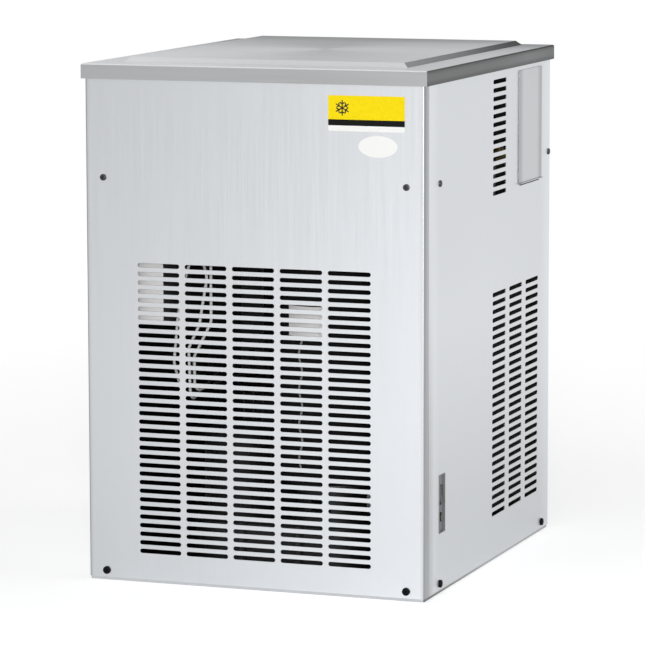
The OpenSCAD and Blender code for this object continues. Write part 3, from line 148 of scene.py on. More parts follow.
def shade(colour, factor):
    """A colour made darker or lighter."""
    return tuple(min(1.0, c * factor) for c in colour)


def tint(tree, value, colour, darker, lighter, start=NOISE_RANGE[0], end=NOISE_RANGE[1]):
    """A colour that goes from a darker shade to a lighter one with a value."""
    ramp = add(tree, "ValToRGB", {"Fac": value})
    for element, place, factor in zip(ramp.color_ramp.elements, (start, end), (darker, lighter)):
        element.position = place
        element.color = (*shade(colour, factor), 1)
    return ramp.outputs["Color"]


def bump(tree, height, strength, distance):
    inputs = {"Height": height, "Strength": strength, "Distance": distance}
    return add(tree, "Bump", inputs).outputs["Normal"]


def feed(tree, shader, **sources):
    """Links sockets to a shader's inputs, whose names are written with underscores for spaces."""
    for socket, source in sources.items():
        tree.links.new(source, shader.inputs[socket.replace("_", " ")])


def new_material(name):
    """A material, its tree and the socket of its surface."""
    material = bpy.data.materials.new(name)
    material.use_nodes = True
    tree = material.node_tree
    return material, tree, tree.nodes["Material Output"].inputs["Surface"]


# Camera and studio
def link(name, data):
    """A new object in the scene."""
    made = bpy.data.objects.new(name, data)
    bpy.context.scene.collection.objects.link(made)
    return made


def aim_at(thing, place, aim):
    """Puts a camera or lamp at a place, looking at its aim."""
    thing.location = place
    thing.rotation_mode = "QUATERNION"
    thing.rotation_quaternion = (Vector(aim) - Vector(place)).to_track_quat("-Z", "Y")


def make_camera():
    data = bpy.data.cameras.new("camera")
    data.sensor_width = SENSOR_MM
    data.lens = FOCAL_PX / PHOTO_PX * SENSOR_MM
    data.shift_x, data.shift_y = CAMERA_SHIFT
    data.clip_end = CLIP_END
    camera = link("camera", data)
    aim_at(camera, CAMERA_AT, CAMERA_AIM)
    camera.rotation_quaternion = camera.rotation_quaternion @ Quaternion((0, 0, 1), CAMERA_ROLL)
    bpy.context.scene.camera = camera


def seen_directly(tree):
    """1 for rays that show the background: straight ones, mirrored ones and ones through glass."""
    path = add(tree, "LightPath").outputs
    shown = calc(tree, "ADD", path["Is Camera Ray"], path["Is Glossy Ray"], clamp=True)
    return calc(tree, "ADD", shown, path["Is Transmission Ray"], clamp=True)


def make_world():
    world = bpy.data.worlds.new("studio")
    world.use_nodes = True
    tree = world.node_tree
    fill = add(tree, "Background", {"Color": WHITE, "Strength": WORLD_FILL})
    back = add(tree, "Background", {"Color": WHITE, "Strength": WORLD_BACK})
    mix = add(tree, "MixShader", {0: seen_directly(tree), 1: fill.outputs[0], 2: back.outputs[0]})
    tree.links.new(mix.outputs[0], tree.nodes["World Output"].inputs["Surface"])
    bpy.context.scene.world = world


def quad_mesh(name, corners, material):
    mesh = bpy.data.meshes.new(name)
    mesh.from_pydata(corners, [], [(0, 1, 2, 3)])
    mesh.materials.append(material)
    return mesh


def make_floor():
    material, tree, output = new_material("floor_white")
    paint = add(tree, "BsdfDiffuse", {"Color": (FLOOR_ALBEDO,) * 3 + (1,)})
    away = vector_calc(tree, "LENGTH", surface(tree)["Object"])["Value"]
    level = remap(tree, away, *FLOOR_GLOW, *FLOOR_GLOW_AT)
    glow = add(tree, "Emission", {"Strength": times(tree, seen_directly(tree), level)})
    both = add(tree, "AddShader", {0: paint.outputs[0], 1: glow.outputs[0]})
    tree.links.new(both.outputs[0], output)
    half = FLOOR_SIZE / 2
    corners = [(-half, -half, 0), (half, -half, 0), (half, half, 0), (-half, half, 0)]
    floor = link("floor", quad_mesh("floor", corners, material))


def make_card(name, middle, size, level):
    """An upright card that only glossy rays see."""
    material, tree, output = new_material(name)
    tree.links.new(add(tree, "Emission", {"Strength": level}).outputs[0], output)
    half_x, half_z = size[0] / 2, size[1] / 2
    corners = [(-half_x, 0, -half_z), (half_x, 0, -half_z), (half_x, 0, half_z), (-half_x, 0, half_z)]
    card = link(name, quad_mesh(name, corners, material))
    card.location = middle
    for rays in CARD_HIDDEN_FROM:
        setattr(card, "visible_" + rays, False)


def make_lamps():
    for name, place, aim, size, power in LAMPS:
        data = bpy.data.lights.new(name, "AREA")
        data.energy = power
        data.shape = "SQUARE"
        data.size = size
        aim_at(link(name, data), place, aim)


# Levels, which paint light and shade into parts of a finish. A face starts to look along an axis at the first
# share of FACES and does so fully at the second. Inner faces, which get painted shade, look at the part's
# middle from INNER_REACH away.
FACES = (0.5, 0.9)
INNER_SHADE = 0.12
INNER_REACH = (-0.21, -0.19)


def facing_level(tree, coords, letter, level, start, end):
    """1, or another level on faces that look along an axis; the level may be a socket."""
    along = calc(tree, "ABSOLUTE", axis(tree, coords, "Normal", letter))
    share = remap(tree, along, 0.0, 1.0, start, end)
    return calc(tree, "MULTIPLY_ADD", share, calc(tree, "SUBTRACT", level, 1.0), 1.0)


def inner_shade(tree, coords):
    """1, or the level of painted shade on faces that look into the cabinet."""
    flat = vector_calc(tree, "MULTIPLY", coords["Object"], (1, 1, 0))[0]
    outward = vector_calc(tree, "DOT_PRODUCT", flat, coords["Normal"])["Value"]
    return remap(tree, outward, INNER_SHADE, 1.0, *INNER_REACH)


def edge_level(tree, coords, letter, low, high, width, level):
    """1, or another level in bands along both edges of a sheet, reached in the outer third of a band."""
    middle, half = (low + high) / 2, (high - low) / 2
    from_middle = calc(tree, "SUBTRACT", axis(tree, coords, "Object", letter), middle)
    away = calc(tree, "ABSOLUTE", from_middle)
    return remap(tree, away, 1.0, level, half - width, half - width / 3)


# Lid: height and folds of its lips, levels of painted shade on its side lips and slopes from the middle to
# the back, and painted shade at its far end
LIP_H = 0.02
RIM_STEP = 0.5 * MM
LIP_FOLD_W = 0.007
LIP_FOLD_LEVEL = 0.5
LIP_LEVELS = (0.168, 0.26)
SLOPE_LEVELS = (0.28, 0.08)
SLOPE_FACES = (0.45, 0.62)
END_LIP_LEVEL = 0.57
END_LIP_FACES = (0.45, 0.98)
FAR_LEVEL = 0.66
FAR_FADE = (0.12, 0.02)


def lid_levels(tree, coords):
    """The lid's slopes, lips and far end made darker by painted shade; the side lips are darkest along their
    folds.
    """
    low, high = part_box("lid")
    rim = low[2] + LIP_H
    folds = edge_level(tree, coords, "Z", low[2], rim, LIP_FOLD_W, LIP_FOLD_LEVEL)
    depth, height = (axis(tree, coords, "Object", letter) for letter in "YZ")
    slopes = remap(tree, depth, *SLOPE_LEVELS, 0.0, high[1])
    lips = times(tree, folds, remap(tree, depth, *LIP_LEVELS, 0.0, high[1]))
    sides = remap(tree, height, lips, slopes, rim - RIM_STEP, rim)
    return (
        facing_level(tree, coords, "X", sides, *SLOPE_FACES),
        facing_level(tree, coords, "Y", END_LIP_LEVEL, *END_LIP_FACES),
        remap(tree, depth, 1.0, FAR_LEVEL, high[1] - FAR_FADE[0], high[1] - FAR_FADE[1]),
    )


# Wires and control box: depths over which painted shade darkens the wires deeper in the cabinet, its level,
# and the level of painted shade on the box's side
WIRE_SHADE_FADE = (-0.215, -0.2)
WIRE_SHADE_LEVEL = 0.02
BOX_SIDE_SHADE = 0.04


def wire_levels(tree, coords):
    """White wires darkened to near black by painted shade deeper in the cabinet."""
    return (remap(tree, axis(tree, coords, "Object", "Y"), 1.0, WIRE_SHADE_LEVEL, *WIRE_SHADE_FADE),)


def box_levels(tree, coords):
    """Painted shade on the control box's side."""
    return (facing_level(tree, coords, "X", BOX_SIDE_SHADE, *FACES),)


# Front: painted light and shade across it, in shares at the foot and the top, painted light and shade from
# the foot to the top, and painted shade on its returns and bends
FRONT_LIGHT_SLANT = (0.135, 0.09)
FRONT_RISE = (1.04, 0.87)
RETURN_LEVEL = 0.58
RETURN_FOOT_LEVEL = 0.66
RETURN_FADE = (0.003, 0.020)
RETURN_FACES = (0.15, 0.6)
BEND_W = 0.006
BEND_LEVEL = 0.8

# Heights between which the shade beside the front's bend fades out
FOOT_FADE = (0.15, 0.5)


def front_levels(tree, coords):
    """Painted light and shade that change slowly across the front and upwards, and painted shade on its
    returns, darkest at the bend.
    """
    low, high = FRONT_LOW, FRONT_HIGH
    across, depth, height = (axis(tree, coords, "Object", letter) for letter in "XYZ")
    far = remap(tree, height, RETURN_FOOT_LEVEL, 1.0, *FOOT_FADE)
    fade = remap(tree, depth, RETURN_LEVEL, far, FRONT_Y + RETURN_FADE[0], FRONT_Y + RETURN_FADE[1])
    side = remap(tree, across, -1.0, 1.0, -high[0], high[0])
    light_slant = remap(tree, height, *FRONT_LIGHT_SLANT, low[2], high[2])
    return (
        facing_level(tree, coords, "X", fade, *RETURN_FACES),
        edge_level(tree, coords, "X", low[0], high[0], BEND_W, BEND_LEVEL),
        calc(tree, "MULTIPLY_ADD", side, light_slant, 1.0),
        remap(tree, height, *FRONT_RISE, low[2], high[2]),
    )


# Right panel: painted shade beside the front's return, painted highlights on its upright edges, and levels of
# painted shade up from the foot
BESIDE_LEVEL = 0.72
BESIDE_FADE = (0.004, 0.024)
SIDE_EDGE_W = 0.045
SIDE_EDGE_LEVEL = 1.08
SIDE_RISE = (0.92, 1.02)
SIDE_RISE_AT = (0.02, 0.35)


def right_levels(tree, coords):
    """Painted highlights on the right panel's upright edges and painted shade at its foot, darkest beside the
    front's return.
    """
    low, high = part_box("right_panel")
    depth, height = (axis(tree, coords, "Object", letter) for letter in "YZ")
    beside = remap(tree, height, BESIDE_LEVEL, 1.0, *FOOT_FADE)
    return (
        remap(tree, depth, beside, 1.0, low[1] + BESIDE_FADE[0], low[1] + BESIDE_FADE[1]),
        edge_level(tree, coords, "Y", low[1], high[1], SIDE_EDGE_W, SIDE_EDGE_LEVEL),
        remap(tree, height, *SIDE_RISE, low[2] + SIDE_RISE_AT[0], low[2] + SIDE_RISE_AT[1]),
    )


# Base: painted shade on its floor, and on its side edges from the front to the middle. Hatch: painted shade
# on its bends and cut edges
BASE_FLOOR_SHADE = 0.1
SKIRT_LEVELS = (0.3, 0.78)
HATCH_BEND_W = 0.022
HATCH_BEND_LEVEL = 0.7
HATCH_EDGE_LEVEL = 0.45


def base_levels(tree, coords):
    """Painted shade on the base's floor, and on its folded edge along the sides, darkest at the front."""
    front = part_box("base_pan")[0][1]
    sides = remap(tree, axis(tree, coords, "Object", "Y"), *SKIRT_LEVELS, front, 0.0)
    return (
        facing_level(tree, coords, "Z", BASE_FLOOR_SHADE, *FACES),
        facing_level(tree, coords, "X", sides, *FACES),
    )


def hatch_levels(tree, coords):
    """Painted shade on the hatch's bent upright edges and on its cut edges."""
    low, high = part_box("hatch_cover")
    return (
        edge_level(tree, coords, "Y", low[1], high[1], HATCH_BEND_W, HATCH_BEND_LEVEL),
        facing_level(tree, coords, "Y", HATCH_EDGE_LEVEL, *FACES),
        facing_level(tree, coords, "Z", HATCH_EDGE_LEVEL, *FACES),
    )


# Finishes; a bump is its strength and its depth in metres, a spread goes to both sides of a middle value
BRUSH_PER_METRE = 900
ALONG_PER_METRE = 7
UPRIGHT = (BRUSH_PER_METRE, BRUSH_PER_METRE, ALONG_PER_METRE)
ACROSS = (ALONG_PER_METRE, BRUSH_PER_METRE, BRUSH_PER_METRE)
BRUSH_NOISE = (4.0, 0.7)
BRUSH_ANISOTROPY = 0.4
BRUSH_BUMP = (0.08, 0.0002)
SHEET_CLOUD = (3, 3, 3)
CLOUD_DETAIL = 2.0
MOTTLE_BUMP = (0.1, 0.0002)
MOTTLE_ROUGH = (-0.06, 0.08)
CRYSTALS_PER_METRE = 70.0
CRYSTAL_RANGE = (0.1, 0.9)
CRYSTAL_SHADES = (0.8, 1.1)
SKIN_CLOUD = (12, 12, 12)
SKIN_DEPTH = 0.0003
ROUGH_SPREAD = 0.05


def new_finish(name, **sockets):
    """A material and its shader; a socket's name is written with underscores for spaces."""
    material, tree, _ = new_material(name)
    shader = tree.nodes["Principled BSDF"]
    for socket, value in sockets.items():
        shader.inputs[socket.replace("_", " ")].default_value = value
    return material, tree, shader


def brushed(name, colour, lines, roughness=0.34, spread=0.022, levels=None):
    """Brushed sheet: fine lines with the given frequencies, a slow cloudiness, painted shade on its inner
    faces, and the painted light and shade of its levels.
    """
    material, tree, shader = new_finish(name, Metallic=1.0, Anisotropic=BRUSH_ANISOTROPY)
    grain = noise(tree, lines, *BRUSH_NOISE)
    blend = calc(tree, "ADD", grain, noise(tree, SHEET_CLOUD, CLOUD_DETAIL))
    steel = tint(tree, blend, colour, 1 - spread, 1 + spread, *SUM_RANGE)
    coords = surface(tree)
    level = times(tree, inner_shade(tree, coords), *(levels(tree, coords) if levels else ()))
    feed(
        tree, shader,
        Base_Color=scaled(tree, steel, level),
        Roughness=remap(tree, grain, roughness - ROUGH_SPREAD, roughness + ROUGH_SPREAD),
        Normal=bump(tree, grain, *BRUSH_BUMP),
        Tangent=add(tree, "Tangent", direction_type="RADIAL", axis="Z").outputs[0],
    )
    return material


def plain_metal(name, colour, roughness, per_metre=220, spread=0.12):
    """Turned or drawn metal with a faint mottling."""
    material, tree, shader = new_finish(name, Metallic=1.0)
    mottle = noise(tree, (per_metre,) * 3)
    feed(
        tree, shader,
        Base_Color=tint(tree, mottle, colour, 1 - spread, 1 + spread),
        Roughness=remap(tree, mottle, roughness + MOTTLE_ROUGH[0], roughness + MOTTLE_ROUGH[1]),
        Normal=bump(tree, mottle, *MOTTLE_BUMP),
    )
    return material


def galvanised(name, colour, roughness):
    """Zinc-coated sheet whose crystals go from the first roughness to the second."""
    material, tree, shader = new_finish(name, Metallic=1.0)
    inputs = {"Vector": surface(tree)["Object"], "Scale": CRYSTALS_PER_METRE}
    cells = add(tree, "TexVoronoi", inputs).outputs["Color"]
    value = add(tree, "RGBToBW", {"Color": cells}).outputs[0]
    feed(
        tree, shader,
        Base_Color=tint(tree, value, colour, *CRYSTAL_SHADES, *CRYSTAL_RANGE),
        Roughness=remap(tree, value, *roughness, *CRYSTAL_RANGE),
    )
    return material


def moulded(name, colour, roughness, per_metre=900, grain=0.15, spread=0.06, gloss=0.5, levels=None):
    """Moulded, painted or rubber surface with a fine skin, and the painted shade of its levels."""
    material, tree, shader = new_finish(name, Roughness=roughness, Specular_IOR_Level=gloss)
    skin = noise(tree, (per_metre,) * 3)
    paint = tint(tree, noise(tree, SKIN_CLOUD, CLOUD_DETAIL), colour, 1 - spread, 1 + spread)
    if levels:
        paint = scaled(tree, paint, times(tree, *levels(tree, surface(tree))))
    feed(
        tree, shader,
        Base_Color=paint,
        Roughness=remap(tree, skin, roughness - ROUGH_SPREAD, roughness + ROUGH_SPREAD),
        Normal=bump(tree, skin, grain, SKIN_DEPTH),
    )
    return material


# Finishes, most of them of a material slot: maker, colour, brushing or roughness, and what else differs
PANEL_STEEL = (0.61, 0.627, 0.648)
LID_STEEL = (0.63, 0.644, 0.658)
# The base's steel is made darker by painted shade, for the shadow line along the foot.
BASE_STEEL = shade(PANEL_STEEL, 0.8)
HATCH_STEEL = shade(PANEL_STEEL, 0.85)
FINISHES = {
    "brushed_panel": (brushed, PANEL_STEEL, UPRIGHT, {}),
    "front_sheet": (brushed, PANEL_STEEL, UPRIGHT, {"levels": front_levels}),
    "right_sheet": (brushed, PANEL_STEEL, UPRIGHT, {"levels": right_levels}),
    "hatch_sheet": (brushed, HATCH_STEEL, UPRIGHT, {"levels": hatch_levels}),
    "base_sheet": (brushed, BASE_STEEL, UPRIGHT, {"roughness": 0.4, "levels": base_levels}),
    "lid_steel": (brushed, LID_STEEL, ACROSS, {"levels": lid_levels}),
    # The galvanised parts are darkened far below zinc's own tone, as painted shade for the dim inside of the
    # cabinet.
    "galvanised": (galvanised, (0.06, 0.061, 0.063), (0.38, 0.55), {}),
    "cylinder": (plain_metal, (0.10, 0.10, 0.105), 0.5, {}),
    "screw_steel": (plain_metal, (0.06, 0.06, 0.062), 0.4, {}),
    "copper": (plain_metal, (0.42, 0.21, 0.13), 0.4, {"per_metre": 90, "spread": 0.22}),
    "cast_alloy": (plain_metal, (0.04, 0.041, 0.042), 0.6, {"per_metre": 500, "spread": 0.1}),
    "freezer_steel": (plain_metal, (0.58, 0.58, 0.59), 0.28, {}),
    "brass": (plain_metal, (0.36, 0.27, 0.12), 0.45, {"per_metre": 150}),
    "black_screw": (moulded, (0.006, 0.006, 0.007), 0.6, {"gloss": 0.08}),
    "grey_plastic": (moulded, (0.20, 0.205, 0.21), 0.5, {}),
    "black_plastic": (moulded, (0.018, 0.018, 0.019), 0.42, {}),
    "white_plastic": (moulded, (0.78, 0.79, 0.78), 0.42, {}),
    "clear_hose": (moulded, (0.66, 0.68, 0.68), 0.3, {}),
    "board_green": (moulded, (0.03, 0.17, 0.07), 0.35, {}),
    "wire_white": (moulded, (0.88, 0.88, 0.86), 0.45, {"levels": wire_levels}),
    "box_white": (
        moulded, (0.93, 0.93, 0.92), 0.45,
        {"per_metre": 350, "grain": 0.2, "spread": 0.02, "levels": box_levels},
    ),
    "black_paint": (moulded, (0.008, 0.008, 0.009), 0.6, {"per_metre": 400, "grain": 0.2, "gloss": 0.2}),
    "dark_paint": (moulded, (0.014, 0.014, 0.015), 0.5, {"per_metre": 500, "gloss": 0.2}),
    "fan_grey": (moulded, (0.03, 0.031, 0.032), 0.5, {"gloss": 0.3}),
    "rubber": (moulded, (0.018, 0.017, 0.016), 0.75, {"gloss": 0.15}),
    "black_foam": (moulded, (0.008, 0.008, 0.008), 0.9, {"per_metre": 600, "grain": 0.5, "gloss": 0.1}),
}

# Nodes whose finish differs from that of their slot
OWN_FINISHES = {
    "front_panel": "front_sheet",
    "right_panel": "right_sheet",
    "hatch_cover": "hatch_sheet",
    "base_pan": "base_sheet",
    "freezing_cylinder": "cylinder",
}


def dress_nodes():
    """Makes the finishes and gives every node the one that its material slot names, or its own."""
    made = {}
    for name, (make, colour, texture, more) in FINISHES.items():
        made[name] = make(name + "_finish", colour, texture, **more)
    for part in NODES.values():
        for slot in part.material_slots:
            slot.material = made[slot.material.name]
    for node, name in OWN_FINISHES.items():
        NODES[node].material_slots[0].material = made[name]
    return made


# Tubes that come as facets and are round on the real machine
TUBES = ("wires", "inlet_hose", "feed_hose", "drain_hose", "discharge_line", "liquid_line", "suction_line")
WELD = 0.01 * MM


def smooth_tubes():
    for name in TUBES:
        tube = NODES[name]
        for face in tube.data.polygons:
            face.use_smooth = True
        weld = tube.modifiers.new("weld", "WELD")
        weld.merge_threshold = WELD
        tube.modifiers.new("normals", "WEIGHTED_NORMAL")


# Pieces of the scene
def new_piece(name, mesh, material):
    """A piece of the cabinet with its finish."""
    piece = link(name, mesh)
    mesh.materials.append(material)
    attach(piece, "cabinet")
    return piece


def finished_mesh(name, body):
    """The mesh of a closed body, with its faces turned outwards."""
    bmesh.ops.recalc_face_normals(body, faces=body.faces)
    mesh = bpy.data.meshes.new(name)
    body.to_mesh(mesh)
    body.free()
    return mesh


def join_loops(body, lower, upper):
    """Faces between two closed loops of as many points."""
    for i, start in enumerate(lower):
        j = (i + 1) % len(lower)
        body.faces.new((start, lower[j], upper[j], upper[i]))


def turned(points, cos, sin):
    """Points turned about the origin."""
    return [(u * cos - v * sin, u * sin + v * cos) for u, v in points]


# Front labels, in millimetres from the part's middle and the floor, on the front panel
LABEL_T = 0.25
LABEL_W = 104
LABEL_H = 46
LABEL_R = 2
LABEL_AT = (156.8, 633)
LABEL_STRIPE = (616, 624.5)
FLAKE_AT = (124, 640)
FLAKE_T = 0.05
FLAKE_REACH = 10
FLAKE_HALF_BAR = 0.8
FLAKE_BRANCH_AT = 4.6
FLAKE_BRANCH = 3.6
OVAL_W = 53
OVAL_H = 28
OVAL_AT = (172.6, 591)

# Films and inks
FILM_WHITE = (0.93, 0.93, 0.92)
FILM_YELLOW = (0.96, 0.74, 0.006)
FILM_BLACK = (0.005, 0.005, 0.005)
FILM_ROUGH = 0.4
FILM_ROUGH_SPREAD = 0.06
FILM_GLOSS = 0.1
FILM_PER_METRE = 300
FILM_GRAIN = 0.05
FILM_SPREAD = 0.04
WHITE_SPREAD = 0.01
INK = (0.02, 0.019, 0.015)
INK_ROUGH = 0.45
INK_GLOSS = 0.2
TAPE = (0.3, 0.3, 0.3)
TAPE_ROUGH = 0.5


def plate_mesh(name, outline, thick, to_part):
    """A plate of one outline, raised by its thickness, with its points carried to the part by a function."""
    body = bmesh.new()
    low = [body.verts.new(to_part(u, v, 0)) for u, v in outline]
    high = [body.verts.new(to_part(u, v, thick)) for u, v in outline]
    body.faces.new(high)
    body.faces.new(low[::-1])
    join_loops(body, low, high)
    return finished_mesh(name, body)


def rounded_outline(width, height, radius, steps=8):
    """A rectangle with round corners about its own middle."""
    points = []
    for turn in range(4):
        sign_u = 1 if turn in (0, 3) else -1
        sign_v = 1 if turn in (0, 1) else -1
        for step in range(steps + 1):
            angle = math.pi / 2 * (turn + step / steps)
            points.append((
                sign_u * (width / 2 - radius) + radius * math.cos(angle),
                sign_v * (height / 2 - radius) + radius * math.sin(angle),
            ))
    return points


def oval_outline(width, height, steps=72):
    turns = [2 * math.pi * step / steps for step in range(steps)]
    return [(width / 2 * math.cos(turn), height / 2 * math.sin(turn)) for turn in turns]


def snowflake_outline(reach, half_bar, branch_at, branch):
    """Six arms with a pair of slanted branches each, as one closed outline."""
    slope = math.radians(60)
    out_u, out_v = branch * math.cos(slope), branch * math.sin(slope)
    end_u, end_v = 2 * half_bar * math.sin(slope), -2 * half_bar * math.cos(slope)
    back = (out_v + end_v) / math.tan(slope)
    side = [
        (half_bar / math.tan(slope / 2), half_bar),
        (branch_at, half_bar),
        (branch_at + out_u, half_bar + out_v),
        (branch_at + out_u + end_u, half_bar + out_v + end_v),
        (branch_at + out_u + end_u - back, half_bar),
        (reach, half_bar),
    ]
    arm = [(along, -across) for along, across in side] + side[:0:-1]
    points = []
    for turn in range(6):
        angle = slope * (turn + 0.5)
        points += turned(arm, math.cos(angle), math.sin(angle))
    return points


def on_front(centre_x, centre_z, lift=0):
    """Carries a plate's points to the front panel, in millimetres from the part's middle and the floor."""
    def to_part(u, v, w):
        return ((centre_x + u) * MM, FRONT_Y - (lift + w) * MM, (centre_z + v) * MM)
    return to_part


def plain_film(name, colour, roughness, **more):
    return moulded(name, colour, roughness, FILM_PER_METRE, FILM_GRAIN, **more)


def label_finish(name):
    """Printed film in three fields: a yellow one, a black stripe and a white strip below it."""
    material, tree, shader = new_finish(name, Roughness=FILM_ROUGH, Specular_IOR_Level=FILM_GLOSS)
    ramp = add(tree, "ValToRGB", {"Fac": axis(tree, surface(tree), "Object", "Z")})
    bands = ramp.color_ramp
    bands.interpolation = "CONSTANT"
    bands.elements[0].color = (*FILM_WHITE, 1)
    bands.elements[1].position = LABEL_STRIPE[0] * MM
    bands.elements[1].color = (*FILM_BLACK, 1)
    bands.elements.new(LABEL_STRIPE[1] * MM).color = (*FILM_YELLOW, 1)
    mottle = noise(tree, (FILM_PER_METRE,) * 3)
    level = remap(tree, mottle, 1 - FILM_SPREAD, 1 + FILM_SPREAD)
    feed(
        tree, shader,
        Base_Color=scaled(tree, ramp.outputs["Color"], level),
        Roughness=remap(tree, mottle, FILM_ROUGH - FILM_ROUGH_SPREAD, FILM_ROUGH + FILM_ROUGH_SPREAD),
    )
    return material


def make_front_labels(film):
    """The label with its snowflake, and the white oval below it."""
    outline = rounded_outline(LABEL_W, LABEL_H, LABEL_R)
    label = plate_mesh("front_label", outline, LABEL_T, on_front(*LABEL_AT))
    new_piece("front_label", label, label_finish("label_film"))
    outline = snowflake_outline(FLAKE_REACH, FLAKE_HALF_BAR, FLAKE_BRANCH_AT, FLAKE_BRANCH)
    flake = plate_mesh("label_snowflake", outline, FLAKE_T, on_front(*FLAKE_AT, LABEL_T))
    ink = plain_film("dark_ink", INK, INK_ROUGH, gloss=INK_GLOSS)
    new_piece("label_snowflake", flake, ink)
    oval = plate_mesh("front_oval", oval_outline(OVAL_W, OVAL_H), LABEL_T, on_front(*OVAL_AT))
    new_piece("front_oval", oval, film)


# Films on the insulation, in millimetres
FILM_LIFT = 0.05
SLEEVE_LABEL_W = 53
SLEEVE_LABEL_H = 40
SLEEVE_LABEL_Z = 355
SLEEVE_LABEL_TURN = math.radians(-10.3)
SLEEVE_LABEL_STEPS = 24
SEAM_W = 3
SEAM_Z = (160, 333)
SEAM_TURN = math.radians(-15)
SEAM_WAVE = 2.5
SEAM_WAVE_L = 46
SEAM_STEPS = 48


def on_sleeve(turn, middle_z):
    """Carries a film's points to the insulation, wrapped from a turn away from its front."""
    low, high = (Vector(corner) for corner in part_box("insulation_sleeve"))
    middle = (low + high) / 2
    radius = (high.x - low.x) / 2

    def wrap(u, v, w):
        angle = turn + u * MM / radius
        reach = radius + (FILM_LIFT + w) * MM
        return (middle.x + reach * math.sin(angle), middle.y - reach * math.cos(angle), (middle_z + v) * MM)
    return wrap


def film_mesh(name, sections, thick, to_part):
    """A film through pairs of points, one pair for each section along it."""
    body = bmesh.new()
    rings = []
    for start, end in sections:
        corners = ((*start, 0), (*end, 0), (*end, thick), (*start, thick))
        rings.append([body.verts.new(to_part(*corner)) for corner in corners])
    for ring, following in zip(rings, rings[1:]):
        join_loops(body, ring, following)
    body.faces.new(rings[0])
    body.faces.new(rings[-1])
    return finished_mesh(name, body)


def make_sleeve_films(film):
    """The label on the insulation and the wavy seam tape below it."""
    half = SLEEVE_LABEL_H / 2
    across = [SLEEVE_LABEL_W * (step / SLEEVE_LABEL_STEPS - 0.5) for step in range(SLEEVE_LABEL_STEPS + 1)]
    sections = [((u, -half), (u, half)) for u in across]
    label = film_mesh("sleeve_label", sections, LABEL_T, on_sleeve(SLEEVE_LABEL_TURN, SLEEVE_LABEL_Z))
    new_piece("sleeve_label", label, film)
    sections = []
    for step in range(SEAM_STEPS + 1):
        z = SEAM_Z[0] + (SEAM_Z[1] - SEAM_Z[0]) * step / SEAM_STEPS
        u = SEAM_WAVE * math.sin(2 * math.pi * z / SEAM_WAVE_L)
        sections.append(((u - SEAM_W / 2, z), (u + SEAM_W / 2, z)))
    seam = film_mesh("sleeve_seam", sections, LABEL_T, on_sleeve(SEAM_TURN, 0))
    new_piece("sleeve_seam", seam, plain_film("seam_tape", TAPE, TAPE_ROUGH))


# Screws: piece, the node that it replaces, height of the heads and radius of the shanks
SCREWS = (
    ("panel_screw_set", "panel_screws", 2 * MM, 2 * MM),
    ("base_screw_set", "base_screws", 3 * MM, 2 * MM),
)
SCREW_SIDES = 32
SHARP = math.radians(35)

# Shares of a head's radius: its flat top, and reach and half bar of its recess at the mouth and the floor
FLAT_SHARE = 0.62
MOUTH_SHARES = (0.5, 0.11)
FLOOR_SHARES = (0.3, 0.08)

# Shares of a head's height
DOME_SHARE = 0.45
RECESS_SHARE = 0.6
DOME_STEPS = 5


def solid_boxes(part):
    """The lowest and highest corner of each separate solid of a node."""
    body = bmesh.new()
    body.from_mesh(part.data)
    bmesh.ops.remove_doubles(body, verts=body.verts, dist=WELD)
    boxes = []
    left = set(body.verts)
    while left:
        group = [left.pop()]
        for vert in group:
            for edge in vert.link_edges:
                other = edge.other_vert(vert)
                if other in left:
                    left.remove(other)
                    group.append(other)
        axes = list(zip(*(vert.co for vert in group)))
        boxes.append((Vector(map(min, axes)), Vector(map(max, axes))))
    body.free()
    return boxes


def cross_outline(reach, half_bar):
    """A plus sign, anticlockwise."""
    quarter = ((reach, -half_bar), (reach, half_bar), (half_bar, half_bar))
    points = []
    for cos, sin in ((1, 0), (0, 1), (-1, 0), (0, -1)):
        points += turned(quarter, cos, sin)
    return points


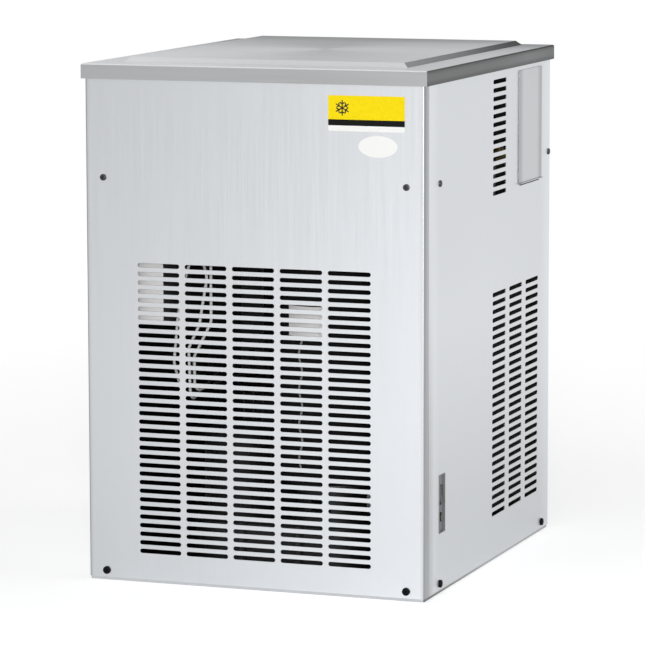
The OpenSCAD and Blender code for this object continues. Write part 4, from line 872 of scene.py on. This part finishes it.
def add_screw(body, place, head_r, head_h, shank_r, shank_l):
    """A pan head with its cross recess and shank, along +Z from the sheet, carried by a matrix."""
    flat_r = FLAT_SHARE * head_r
    dome = DOME_SHARE * head_h

    def loop(points, height):
        return [body.verts.new(place @ Vector((x, y, height))) for x, y in points]

    def ring(radius, height):
        turns = [2 * math.pi * side / SCREW_SIDES for side in range(SCREW_SIDES)]
        return loop([(radius * math.cos(turn), radius * math.sin(turn)) for turn in turns], height)

    rings = [ring(shank_r, -shank_l), ring(shank_r, 0), ring(head_r, 0), ring(head_r, head_h - dome)]
    for step in range(1, DOME_STEPS + 1):
        angle = math.pi / 2 * step / DOME_STEPS
        radius = flat_r + (head_r - flat_r) * math.cos(angle)
        rings.append(ring(radius, head_h - dome + dome * math.sin(angle)))
    for lower, upper in zip(rings, rings[1:]):
        join_loops(body, lower, upper)
    body.faces.new(rings[0][::-1])

    mouth = loop(cross_outline(*(share * head_r for share in MOUTH_SHARES)), head_h)
    floor = loop(cross_outline(*(share * head_r for share in FLOOR_SHARES)), head_h - RECESS_SHARE * head_h)
    join_loops(body, floor, mouth)
    body.faces.new(floor)
    edges = []
    for rim in (rings[-1], mouth):
        edges += [body.edges.get((vert, rim[(i + 1) % len(rim)])) for i, vert in enumerate(rim)]
    bmesh.ops.triangle_fill(body, edges=edges, use_beauty=True, use_dissolve=False)


def make_screws(finishes, name, node, head_h, shank_r):
    """Detailed screws for every solid of a node; the longest side of a solid is its axis, headed outwards."""
    body = bmesh.new()
    for low, high in solid_boxes(NODES[node]):
        size = high - low
        middle = (low + high) / 2
        along = max(range(3), key=lambda i: size[i])
        head_r = min(size) / 2
        outward = Vector((0, 0, 0))
        outward[along] = 1 if middle[along] > 0 else -1
        seat = middle + outward * (size[along] / 2 - head_h)
        turn = outward.to_track_quat("Z", "Y").to_matrix().to_4x4()
        add_screw(body, Matrix.Translation(seat) @ turn, head_r, head_h, shank_r, size[along] - head_h)
    for face in body.faces:
        face.smooth = True
    mesh = finished_mesh(name, body)
    mesh.set_sharp_from_angle(angle=SHARP)
    slot = NODES[node].material_slots[0].material.name.removesuffix("_finish")
    piece = new_piece(name, mesh, finishes[slot])
    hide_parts(node)


make_camera()
make_world()
make_floor()
make_lamps()
make_card("lid_card", *LID_CARD)
made_finishes = dress_nodes()
smooth_tubes()
white_film = plain_film("white_film", FILM_WHITE, FILM_ROUGH, spread=WHITE_SPREAD, gloss=FILM_GLOSS)
make_front_labels(white_film)
make_sleeve_films(white_film)
for screw_row in SCREWS:
    make_screws(made_finishes, *screw_row)

bpy.context.scene.view_settings.view_transform = "Standard"
